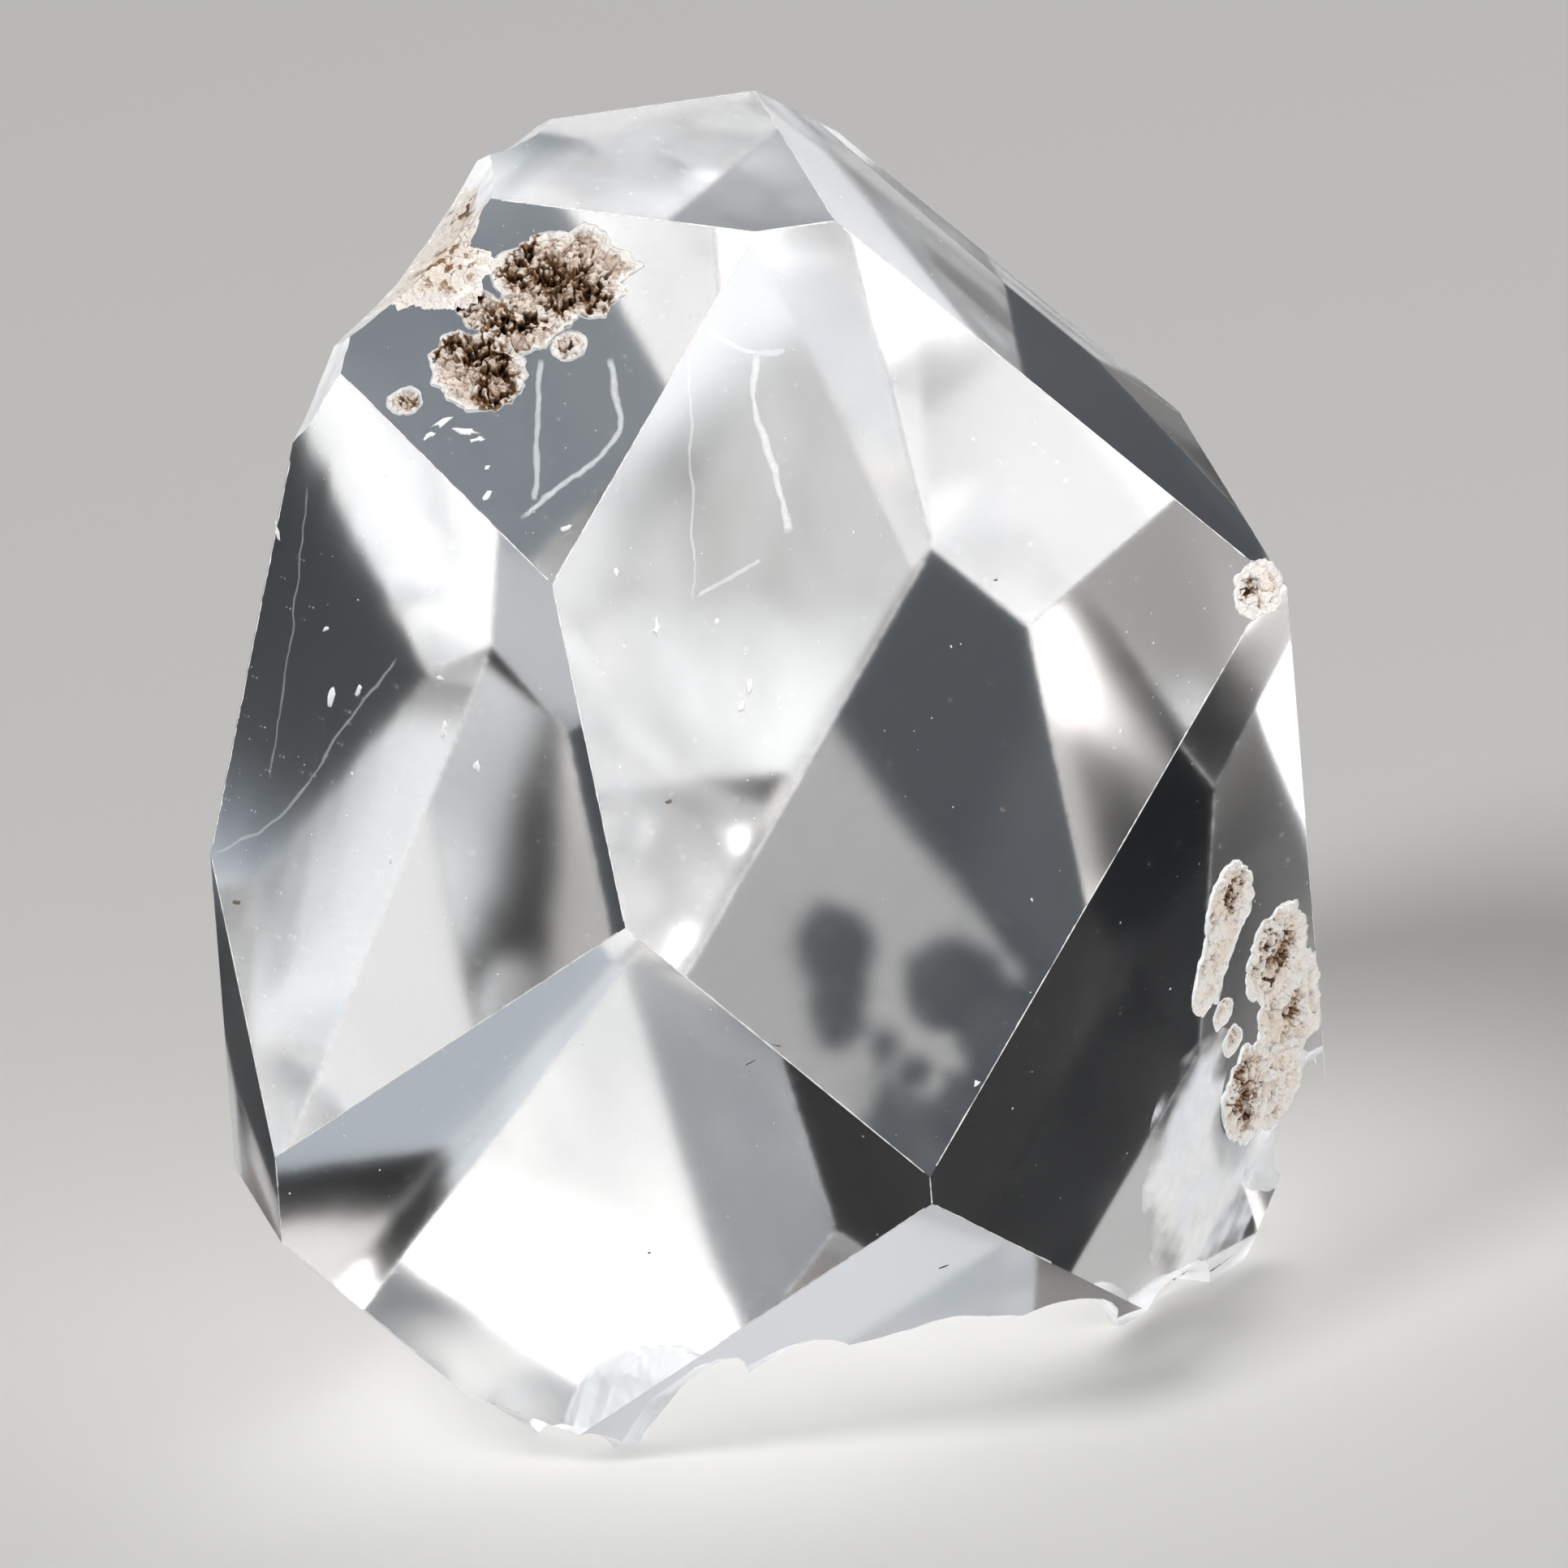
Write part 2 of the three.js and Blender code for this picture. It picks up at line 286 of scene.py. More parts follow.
def capped_mesh(first, rings, last):
    """A closed surface from a pole, rings of points and another pole: the rings are joined by
    quads and each pole by a fan of triangles."""
    rows, columns = rings.shape[:2]
    points = np.vstack([rings.reshape(-1, 3), first, last])
    column = np.arange(columns)
    after = (column + 1) % columns
    end = (rows - 1) * columns
    fan_first = np.stack([np.full(columns, rows * columns), after, column], -1)
    fan_last = np.stack([np.full(columns, rows * columns + 1), end + column, end + after], -1)
    return points, [grid_quads(rows, columns), fan_first, fan_last]


def sheet_mesh(upper, lower):
    """A closed sheet from the rings of its upper side, from the middle out, and then those of its
    lower side, back to the middle."""
    return capped_mesh(upper[:1, 0], np.concatenate([upper[1:], lower[:-1]]), lower[-1:, 0])


def joined(parts):
    """Several (points, faces) put into one list of points and one of faces."""
    points, faces, before = [], [], 0
    for part_points, part_faces in parts:
        points.append(part_points)
        faces.extend(block + before for block in part_faces)
        before += len(part_points)
    return np.vstack(points), faces


def make_mesh(name, points, faces, scale=MM):
    """A mesh from points in millimetres and blocks of faces. With scale 1 it stays in
    millimetres."""
    mesh = bpy.data.meshes.new(name)
    faces = [face for block in faces for face in block.tolist()]
    mesh.from_pydata((points * scale).tolist(), [], faces)
    mesh.update()
    return mesh


def make_object(name, mesh):
    made = bpy.data.objects.new(name, mesh)
    bpy.context.scene.collection.objects.link(made)
    return made


def rim_reach(centre, axes, sizes, ways):
    """How far an uneven rim reaches in each direction, as a share of its ellipse's radius: soft
    waves read where the direction meets the ellipse."""
    flat = ways[..., :2]
    length = np.maximum(np.linalg.norm(flat, axis=-1, keepdims=True), 1e-9)
    rim = centre + (flat / length * np.array(sizes)[:2]) @ axes[:2]
    return 1 + 0.2 * waves(rim, 1.2, 31, octaves=4, fall=0.65)[..., None]


def ball(centre, axes, sizes, rows, columns, relief=0.0, relief_length=1.0, seed=0, uneven=False):
    """An ellipsoid on a grid of latitude and longitude, moved out by soft relief in millimetres:
    point = centre + axes * sizes * direction + outward * relief * waves. An uneven one has its
    first two directions stretched by its rim's reach."""
    lat = np.linspace(0, math.pi, rows + 2)[1:-1, None]
    lon = circle(columns)[None]
    ways = np.stack([np.sin(lat) * np.cos(lon), np.sin(lat) * np.sin(lon), np.cos(lat) + 0 * lon], -1)
    poles = np.array([[0, 0, 1.0], [0, 0, -1.0]])

    def placed(ways):
        if uneven:
            reach = rim_reach(centre, axes, sizes, ways)
            ways = ways * np.concatenate([reach, reach, np.ones_like(reach)], -1)
        points = centre + (ways * sizes) @ axes
        if relief:
            out = unit((ways / np.array(sizes)) @ axes)
            points = points + out * (relief * waves(points, relief_length, seed))[..., None]
        return points

    points, faces = capped_mesh(placed(poles[:1]), placed(ways), placed(poles[1:]))
    return points, [block[:, ::-1] for block in faces]


def break_axes(name):
    at, facing, radius = BREAKS[name]
    out = unit(np.array(facing))
    side = unit(np.cross(UP, out))
    return MIDDLE + np.array(at) + out * radius, side, np.cross(out, side), out, radius


def break_relief(name, points):
    """How much deeper a break is than its ball: conchoidal ripples, rings that fade with the
    distance from where the blow fell, and a finer waviness on top."""
    centre, side, rise, out, radius = break_axes(name)
    blow = centre - out * radius + side * 2.5 + rise * 3.5
    far = np.linalg.norm(points - blow, axis=-1)
    rings = 0.018 * np.sin(2 * math.pi * far / (0.5 + 0.16 * far)) * np.exp(-far / 6)
    return rings + 0.05 * waves(points, 1.9, len(name), octaves=4, fall=0.42)


def break_surface(name, ways):
    centre, _, _, _, radius = break_axes(name)
    return centre + ways * (radius + break_relief(name, centre + ways * radius))[..., None]


def break_cap(name, spread=0.62, rows=110, columns=300):
    """The solid between a break's surface and the ball's centre, out to `spread` radians."""
    centre, side, rise, out, _ = break_axes(name)
    angle = spread * np.linspace(0, 1, rows + 1)[1:, None]
    turn = circle(columns)[None]
    ways = (-np.cos(angle)[..., None] * out
            + (np.sin(angle) * np.cos(turn))[..., None] * side
            + (np.sin(angle) * np.sin(turn))[..., None] * rise)
    pole = break_surface(name, -out[None])
    return capped_mesh(pole, break_surface(name, ways), centre[None])


def scallop(face, across, height, size, seed):
    origin, side, rise, _ = face_axes(face)
    lift = (height + MIDDLE[2] - REST - origin[2]) / rise[2]
    centre = on_face(face, across, lift)
    axes = np.array([side, np.cross(UP, side), UP])
    return ball(centre, axes, size, 90, 150, relief=0.07, relief_length=1.6, seed=seed)


def pit_place(lump):
    """A pit's centre and its axes: across, up and out of the face, turned about the last."""
    face, (across, up), _, turn = lump
    _, side, rise, normal = face_axes(face)
    c, s = math.cos(math.radians(turn)), math.sin(math.radians(turn))
    return on_face(face, across, up), np.array([c * side + s * rise, c * rise - s * side, normal])


def pit(lump, seed):
    centre, axes = pit_place(lump)
    return ball(centre, axes, lump[2], 40, 96, relief=0.03, relief_length=0.7, seed=seed, uneven=True)


def carved(points, margin):
    """True where a break or a pit, each a little enlarged, has taken the crystal away."""
    gone = np.zeros(points.shape[:-1], bool)
    for name in BREAKS:
        centre, _, _, _, radius = break_axes(name)
        gone |= np.linalg.norm(points - centre, axis=-1) < radius + BREAK_MARGIN
    for lump in LUMPS:
        centre, axes = pit_place(lump)
        local = (points - centre) @ axes.T / (np.array(lump[2]) + margin)
        gone |= np.linalg.norm(local, axis=-1) < 1
    return gone


def worn_away(points):
    """True where there is no face left for dust or a bruise."""
    return carved(points, DUST_MARGIN) | (points[..., 2] < FOOT_TOP)


def crystal_hull():
    """The closed body that all the faces shut in: the points where three planes meet and no other
    cuts them off, and round each plane a polygon of its points."""
    normals, distances = planes()
    count = len(normals)
    triples = np.array([(i, j, k) for i in range(count) for j in range(i + 1, count)
                        for k in range(j + 1, count)])
    sharp = np.abs(np.linalg.det(normals[triples])) > 1e-6
    triples = triples[sharp]
    corners = np.linalg.solve(normals[triples], distances[triples][..., None])[..., 0]
    inside = (corners @ normals.T <= distances + 1e-6).all(1)
    corners = np.unique(np.round(corners[inside], 6), axis=0)
    faces = []
    for normal, distance in FACES.values():
        own = np.nonzero(np.abs(corners @ normal - distance) < 1e-4)[0]
        spread = corners[own] - corners[own].mean(0)
        first = unit(spread[0])
        second = np.cross(normal, first)
        faces.append(own[np.argsort(np.arctan2(spread @ second, spread @ first))][None])
    return corners + MIDDLE, faces


def cut(base, cutters, name):
    """The base mesh with each cutter taken away or added in turn, as (operation, mesh)."""
    body = make_object(name, base)
    helpers = []
    for operation, mesh in cutters:
        helper = make_object("cutter", mesh)
        helpers.append(helper)
        step = body.modifiers.new("cut", "BOOLEAN")
        step.operation, step.solver, step.object = operation, "MANIFOLD", helper
    bpy.context.view_layer.update()
    made = bpy.data.meshes.new_from_object(body.evaluated_get(bpy.context.evaluated_depsgraph_get()))
    for helper in [body, *helpers]:
        mesh = helper.data
        bpy.data.objects.remove(helper)
        bpy.data.meshes.remove(mesh)
    if not len(made.polygons):
        raise RuntimeError(f"{name}: nothing is left after the cuts")
    return made


def move_points(mesh, points):
    mesh.vertices.foreach_set("co", points.ravel())
    mesh.update()


def set_attributes(mesh, **values):
    for name, value in values.items():
        layer = mesh.attributes.new(name, "FLOAT", "POINT")
        layer.data.foreach_set("value", value.astype(np.float32))


def hull_edges():
    """The crystal's edges as pairs of points, each with the two faces that it joins."""
    corners, faces = crystal_hull()
    names = list(FACES)
    owners = {}
    for name, polygon in zip(names, faces):
        ring = polygon[0].tolist()
        for one, other in zip(ring, ring[1:] + ring[:1]):
            owners.setdefault((min(one, other), max(one, other)), []).append(name)
    return [(corners[a], corners[b], pair) for (a, b), pair in owners.items()]


# --- Materials --------------------------------------------------------------------------------


class Socket:
    """A node's output. Sums on it add the Math nodes that work them out."""

    def __init__(self, nodes, link):
        self.nodes, self.link = nodes, link

    def maths(self, operation, *values):
        return self.nodes.add("ShaderNodeMath", {"operation": operation}, values)

    def __add__(self, other):
        return self.maths("ADD", self, other)

    def __radd__(self, other):
        return self.maths("ADD", other, self)

    def __sub__(self, other):
        return self.maths("SUBTRACT", self, other)

    def __rsub__(self, other):
        return self.maths("SUBTRACT", other, self)

    def __mul__(self, other):
        return self.maths("MULTIPLY", self, other)

    def __rmul__(self, other):
        return self.maths("MULTIPLY", other, self)

    def step(self, low, high):
        """0 below `low`, 1 above `high` and smooth between them."""
        return self.nodes.add("ShaderNodeMapRange", {"interpolation_type": "SMOOTHSTEP"},
                              {"Value": self, "From Min": low, "From Max": high})


class Nodes:
    """The node tree of a material or a world."""

    def __init__(self, owner):
        owner.use_nodes = True
        self.tree = owner.node_tree
        self.tree.nodes.clear()

    def add(self, kind, settings=None, inputs=(), output=0):
        """A node of a kind, with its settings and the values or links of its sockets."""
        node = self.tree.nodes.new(kind)
        for name, value in (settings or {}).items():
            setattr(node, name, value)
        pairs = inputs.items() if isinstance(inputs, dict) else enumerate(inputs)
        for key, value in pairs:
            socket = node.inputs[key]
            if isinstance(value, Socket):
                self.tree.links.new(value.link, socket)
            else:
                socket.default_value = value
        return Socket(self, node.outputs[output])

    def mix(self, factor, first, second):
        """A colour between two colours."""
        first, second = (c if isinstance(c, Socket) else (*c, 1) for c in (first, second))
        values = {0: factor, 6: first, 7: second}
        return self.add("ShaderNodeMix", {"data_type": "RGBA"}, values, 2)

    def noise(self, where, scale, detail, roughness):
        values = {"Vector": where, "Scale": scale, "Detail": detail, "Roughness": roughness}
        return self.add("ShaderNodeTexNoise", {}, values, "Fac")

    def vector_maths(self, operation, values, output=0):
        return self.add("ShaderNodeVectorMath", {"operation": operation}, values, output)

    def attribute(self, name):
        return self.add("ShaderNodeAttribute", {"attribute_name": name}, (), "Fac")

    def place(self):
        return self.add("ShaderNodeTexCoord", {}, (), "Object")

    def bump(self, height, strength=1.0):
        values = {"Strength": strength, "Distance": 1.0, "Height": height}
        return self.add("ShaderNodeBump", {}, values)

    def finish(self, values, volume=None):
        """The material's surface from the values or links of its sockets, and its inside."""
        surface = self.add("ShaderNodeBsdfPrincipled", {}, values)
        output = self.tree.nodes.new("ShaderNodeOutputMaterial")
        self.tree.links.new(surface.link, output.inputs["Surface"])
        if volume:
            self.tree.links.new(volume.link, output.inputs["Volume"])


def new_material(name):
    material = bpy.data.materials.new(name)
    return material, Nodes(material)


def quartz_material(name, roughness, clear, wave_scale, fine_height=0.0, fine_scale=3000.0):
    """Clear quartz: plain transmission, IOR and absorption, with a faint waviness of the faces. A
    frosted break is less clear and has a fine grain."""
    settings = bpy.context.scene.herkimer_quartz
    material, nodes = new_material(name)
    where = nodes.place()
    height = nodes.noise(where, wave_scale, 1.5, 0.4) * settings.waviness
    if fine_height:
        height = height + nodes.noise(where, fine_scale, 4.0, 0.6) * fine_height
    volume = nodes.add("ShaderNodeVolumeAbsorption", {}, {
        "Color": (*settings.absorption_colour, 1), "Density": settings.absorption_density})
    nodes.finish({"Base Color": (1, 1, 1, 1), "Roughness": roughness, "IOR": settings.ior,
                  "Transmission Weight": clear, "Normal": nodes.bump(height)}, volume)
    return material


def crust_material():
    """Dolomite crust: cream and tan grains round brown and nearly black places, whitish at its rim. The
    brown and the near black are partly real stain and partly painted shade in the deepest pores and
    deep in the pit.
    """
    settings = bpy.context.scene.herkimer_crust
    material, nodes = new_material("dolomite_crust")
    where = nodes.place()
    tone, hollow, rim = (nodes.attribute(name) for name in ("tone", "hollow", "rim"))
    patches = nodes.noise(where, 900.0, 3.0, 0.6) - 0.5
    speckle = nodes.noise(where, 9000.0, 4.0, 0.7) - 0.5
    colour = nodes.mix((tone + patches).step(0.2, 0.6), settings.tan, settings.cream)
    colour = nodes.mix((tone + speckle).step(0.75, 0.95), colour, settings.rim)
    colour = nodes.mix((rim + speckle * 0.8).step(0.3, 0.7), colour, settings.rim)
    # Brown, then nearly black, where the stain mask is high: real stains, plus painted shade in deep
    # pores and deep in the pit.
    colour = nodes.mix((hollow + speckle * 0.6).step(0.14, 0.42), colour, settings.brown)
    colour = nodes.mix((hollow + speckle * 0.5).step(0.5, 0.85), colour, settings.dark)
    height = speckle * 0.00002 + nodes.noise(where, 25000.0, 2.0, 0.6) * 0.000006
    nodes.finish({"Base Color": colour, "Roughness": 0.7 + 0.5 * speckle,
                  "Normal": nodes.bump(height, 0.8)})
    return material


def mark_material(name, colour, other, roughness, scale, strength=None):
    """A healed crack, chip or speck: two colours that change from place to place, and see-through
    where the attribute for its strength is low."""
    material, nodes = new_material(name)
    cloud = nodes.noise(nodes.place(), scale, 3.0, 0.6)
    nodes.finish({
        "Base Color": nodes.mix(cloud.step(0.35, 0.65), colour, other),
        "Roughness": roughness + 0.2 * cloud,
        "Alpha": nodes.attribute(strength) * (0.3 + 0.9 * cloud) if strength else 1.0})
    return material


# --- Settings ---------------------------------------------------------------------------------


def colour_setting(name, description, default):
    return bpy.props.FloatVectorProperty(name=name, description=description, default=default,
                                         subtype="COLOR", size=3, min=0, max=1)


def number_setting(name, description, default, **more):
    return bpy.props.FloatProperty(name=name, description=description, default=default, **more)


class QuartzSettings(bpy.types.PropertyGroup):
    """Sizes and colours of the clear quartz."""

    ior: number_setting("IOR", "Index of refraction of quartz", 1.544)
    absorption_colour: colour_setting("Absorption colour", "Tint of a long way", (0.9, 0.95, 1.0))
    absorption_density: number_setting("Absorption density", "How much light is lost per metre", 2.0)
    polish: number_setting("Face roughness", "Roughness of the crystal faces", 0.08)
    break_roughness: number_setting("Break roughness", "Roughness of the broken surfaces", 0.4)
    frost: number_setting("Frost", "Share of a broken surface that scatters light", 0.32)
    waviness: number_setting("Waviness", "Height of the faint waves of the faces", 0.000022,
                             unit="LENGTH", precision=6)


class CrustSettings(bpy.types.PropertyGroup):
    """Sizes and colours of the dolomite crusts."""

    cream: colour_setting("Cream", "Palest grains", (0.74, 0.66, 0.59))
    tan: colour_setting("Tan", "Darker grains", (0.55, 0.45, 0.375))
    # Brown and Dark follow the stain mask: real stains, with painted shade in the deepest pores and
    # deep in the pit.
    brown: colour_setting("Brown", "Stained grains", (0.26, 0.15, 0.08))
    dark: colour_setting("Dark", "Bottom of the hollows", (0.07, 0.038, 0.02))
    rim: colour_setting("Rim", "Bruised rim of a pit", (0.76, 0.73, 0.7))
    grain: number_setting("Grain", "Size of a grain in millimetres", 0.13)


class MarkSettings(bpy.types.PropertyGroup):
    """Sizes and colours of healed cracks, inclusions, and worn edges with their painted highlights."""

    vein_colour: colour_setting("Vein", "Healed cracks", (0.86, 0.86, 0.87))
    # The chip colour also whitens the edge lines, which are partly wear and partly painted highlight.
    chip_colour: colour_setting("Chip", "White chips and bubbles", (0.78, 0.77, 0.76))
    speck_colour: colour_setting("Dark speck", "Dark inclusions", (0.05, 0.045, 0.04))
    dust: bpy.props.IntProperty(
        name="Dust", description="Number of dust specks on 1500 square millimetres", default=650)


class StageSettings(bpy.types.PropertyGroup):
    """The floor, the light and the camera."""

    floor_colour: colour_setting("Floor", "Colour of the floor", (0.78, 0.77, 0.75))
    wall_colour: colour_setting("Wall", "Colour of the wall behind the floor", (0.05, 0.05, 0.052))
    elevation: number_setting("Elevation", "Camera angle above the floor in degrees", 20.0)
    roll: number_setting("Roll", "Camera turn about its own axis in degrees", 6.588)
    view_height: number_setting("View height", "Height of the picture at the crystal", 0.034603,
                                unit="LENGTH", precision=6)
    key: number_setting("Key light", "Power of the floor's key", 8.8)
    key_cone: number_setting("Key cone", "Width of the key light's cone in degrees", 60.0)
    bent: number_setting("Bent light", "Power of the light that the crystal bends", 0.05)
    piece_key: number_setting("Piece light", "Power of the keys on the crusts", 0.4)
    break_key: number_setting("Break light", "Power of the light on the frosted breaks", 0.3)
    fill: number_setting("Fill light", "Power of the fill light", 0.02)
    tent: number_setting("Tent", "Brightness of the light tent", 1.2)
    mirrored: number_setting("Mirrored", "Share of the tent's light that the faces mirror", 0.06)


# --- Pieces -----------------------------------------------------------------------------------


def dress(made, material):
    made.data.materials.clear()
    made.data.materials.append(material)
    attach(made, "root")


class HERKIMER_OT_crystal(bpy.types.Operator):
    """Cut the quartz crystal from its faces, breaks and pits"""

    bl_idname = "herkimer.crystal"
    bl_label = "Quartz crystal"

    def execute(self, context):
        settings = context.scene.herkimer_quartz
        cutters = [break_cap(name) for name in BREAKS]
        cutters += [scallop(*one, seed=number) for number, one in enumerate(SCALLOPS)]
        cutters += [pit(lump, seed=50 + number) for number, lump in enumerate(LUMPS)]
        meshes = [("DIFFERENCE", make_mesh("cutter", *one, scale=1)) for one in cutters]
        mesh = cut(make_mesh("crystal", *crystal_hull(), scale=1), meshes, "quartz_crystal")
        mesh.materials.clear()
        mesh.materials.append(quartz_material("quartz_face", settings.polish, 1.0, 190.0))
        mesh.materials.append(quartz_material(
            "quartz_break", settings.break_roughness, 1 - settings.frost, 400.0, 0.000006, 9000.0))
        self.share_faces(mesh)
        move_points(mesh, vectors(mesh.vertices, "co") * MM)
        crystal = make_object("quartz_crystal", mesh)
        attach(crystal, "root")
        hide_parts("crystal")
        return {"FINISHED"}

    def share_faces(self, mesh):
        """The faces in a crystal plane are flat and polished, and all others are smooth breaks."""
        centres = vectors(mesh.polygons, "center") - MIDDLE
        normals = vectors(mesh.polygons, "normal")
        flat = np.zeros(len(mesh.polygons), bool)
        for name, (normal, distance) in FACES.items():
            if name != "rest":
                flat |= (np.abs(centres @ normal - distance) < 2e-3) & (normals @ normal > 0.999)
        mesh.set_sharp_from_angle(angle=math.radians(32))
        mesh.polygons.foreach_set("use_smooth", ~flat)
        mesh.polygons.foreach_set("material_index", (~flat).astype(np.int32))


def crust_lump(lump, spacing, seed):
    """One lump of crust as a closed lens. Above, its height over the face is a relief of tilted
    grains with pores between them, that falls to the pit's edge; below, it follows the pit's
    bowl at a small distance. Both are functions of the place on the uneven ellipse."""
    centre, axes = pit_place(lump)
    sizes = np.array(lump[2]) - CRUST_GAP
    rings = max(12, int(sizes[0] / CRUST_RING))
    spokes = max(60, int(2 * math.pi * sizes[0] / CRUST_SPOKE))
    far = np.linspace(0, 1, rings + 1)[:, None]
    turn = circle(spokes)
    ways = np.stack([np.cos(turn), np.sin(turn), 0 * turn], -1)[None]
    reach = rim_reach(centre, axes, lump[2], ways)
    places = centre + (far[..., None] * ways * reach * sizes) @ axes
    fars = far + 0 * turn
    top = crust_height(lump[0], places, fars, spacing, seed)
    bowl = -sizes[2] * np.sqrt(np.maximum(1 - fars**2, 0)) * 0.97
    top = np.maximum(top, bowl + 0.01)
    top[-1] = CRUST_RIM
    upper = places + top[..., None] * axes[2]
    lower = places[-2::-6] + np.minimum(bowl[-2::-6] - 0.005, top[-2::-6] - 0.01)[..., None] * axes[2]
    return sheet_mesh(upper, lower)


def crust_height(face, places, fars, spacing, seed):
    flat = flat_on(face, places).reshape(-1, 2)
    height, _, _ = crust_relief(face, flat, spacing, seed)
    return height.reshape(fars.shape) * np.clip((1 - fars) * 7, 0, 1) + CRUST_RIM


def stained(face, flat):
    """How stained the crust is at places on a face: 1 in the middle of a stain, fading out."""
    stain = np.zeros(len(flat))
    for own, middle, reach in STAINS:
        if own == face:
            far = np.linalg.norm(flat - np.array(middle), axis=1) / reach
            stain = np.maximum(stain, np.exp(-0.6 * far**2))
    return stain


def crust_relief(face, flat, spacing, seed):
    """Height over the face, stain mask and tone of crust at places on the face: coarse grains and fine
    ones, each with its own height, tilt and tone, joints between them, soft lumps, and hollows where a
    net of crooked lines crosses the stained places. The mask is high in these hollows, which are later
    painted brown and nearly black: real stain and painted shade."""
    draw = np.random.default_rng(seed)
    points = np.column_stack([flat, np.zeros(len(flat))])
    rough = 1.0 if face == "l0" else 0.55
    height = -0.04 + 0.07 * waves(points, 1.7, seed + 3, octaves=2)
    tone = np.zeros(len(flat))
    for step, rise, lean, crack, share in ((2.6, 0.06, 0.3, 0.08, 0.6), (1.0, 0.03, 0.4, 0.04, 0.4)):
        number, joint, offset = grains(flat, step * spacing, seed + int(10 * step))
        most = int(2 * FACE_REACH / (step * spacing) + 3) ** 2
        heights, tones = draw.uniform(-1, 1, most), draw.uniform(0, 1, most)
        tilts = draw.normal(size=(most, 2)) * lean
        grain = rise * heights[number] + (tilts[number] * offset).sum(1)
        height += rough * (grain - crack * np.exp(-joint / 0.015))
        tone += share * tones[number]
    net = np.abs(waves(points, 0.8, seed + 1, octaves=4, fall=0.75))
    net = np.clip(1 - net / 0.3, 0, 1)
    stain = stained(face, flat + 0.12 * waves(points, 0.5, seed + 4)[:, None])
    hollow = np.clip(1.15 * stain * (0.35 + 0.85 * net) + 0.16 * net - 0.08, 0, 1)
    fine = 0.025 * waves(points, 0.2, seed + 2, octaves=4, fall=0.7)
    return np.minimum(height - 0.34 * hollow**1.4 + rough * fine, 0.1), hollow, tone


class HERKIMER_OT_crusts(bpy.types.Operator):
    """Fill the pits with porous dolomite crust"""

    bl_idname = "herkimer.crusts"
    bl_label = "Dolomite crusts"

    def execute(self, context):
        spacing = context.scene.herkimer_crust.grain
        material = crust_material()
        for number, (name, lumps) in enumerate(CRUSTS.items()):
            seed = 300 + 10 * number
            meshes = [make_mesh("lump", *crust_lump(lump, spacing, seed), scale=1) for lump in lumps]
            mesh = cut(meshes[0], [("UNION", mesh) for mesh in meshes[1:]], name)
            points = vectors(mesh.vertices, "co")
            self.colour(mesh, points, lumps, spacing, seed, 0.0 if name.startswith("upper") else PALE)
            move_points(mesh, points * MM)
            piece = make_object("dolomite_" + name, mesh)
            dress(piece, material)
            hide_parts(name)
        return {"FINISHED"}

    def colour(self, mesh, points, lumps, spacing, seed, pale):
        """Tone, stain mask and rim of each point, worked out again from its place. Below the face and
        away from the rim, the mask also grows with depth: painted shade deeper in the pit.
        """
        face = lumps[0][0]
        origin, _, _, normal = face_axes(face)
        _, hollow, tone = crust_relief(face, flat_on(face, points), spacing, seed)
        depth = -((points - origin) @ normal)
        inner, bowl = np.full(len(points), 9.0), np.zeros(len(points))
        for lump in lumps:
            centre, axes = pit_place(lump)
            local = ((points - centre) @ axes.T)[:, :2] / np.array(lump[2][:2])
            own = np.linalg.norm(local, axis=1) / rim_reach(centre, axes, lump[2], local)[:, 0]
            bowl = np.maximum(bowl, lump[2][2] * np.sqrt(np.maximum(1 - own**2, 0)))
            inner = np.minimum(inner, own)
        # Painted shade: below the face and away from the rim, the deeper a point lies the browner and
        # darker it is painted.
        hollow = np.maximum(hollow, np.clip(depth / 0.5, 0, 1) * np.clip((1 - inner) * 4, 0, 1))
        under = depth > 0.9 * bowl - 0.05
        hollow, tone = np.where(under, 0, hollow), np.where(under, 1, tone)
        start = 0.7 if len(lumps) > 1 else 0.5
        rim = np.clip((inner - start) / 0.25, 0, 1)
        set_attributes(mesh, tone=tone + pale, hollow=hollow, rim=rim)


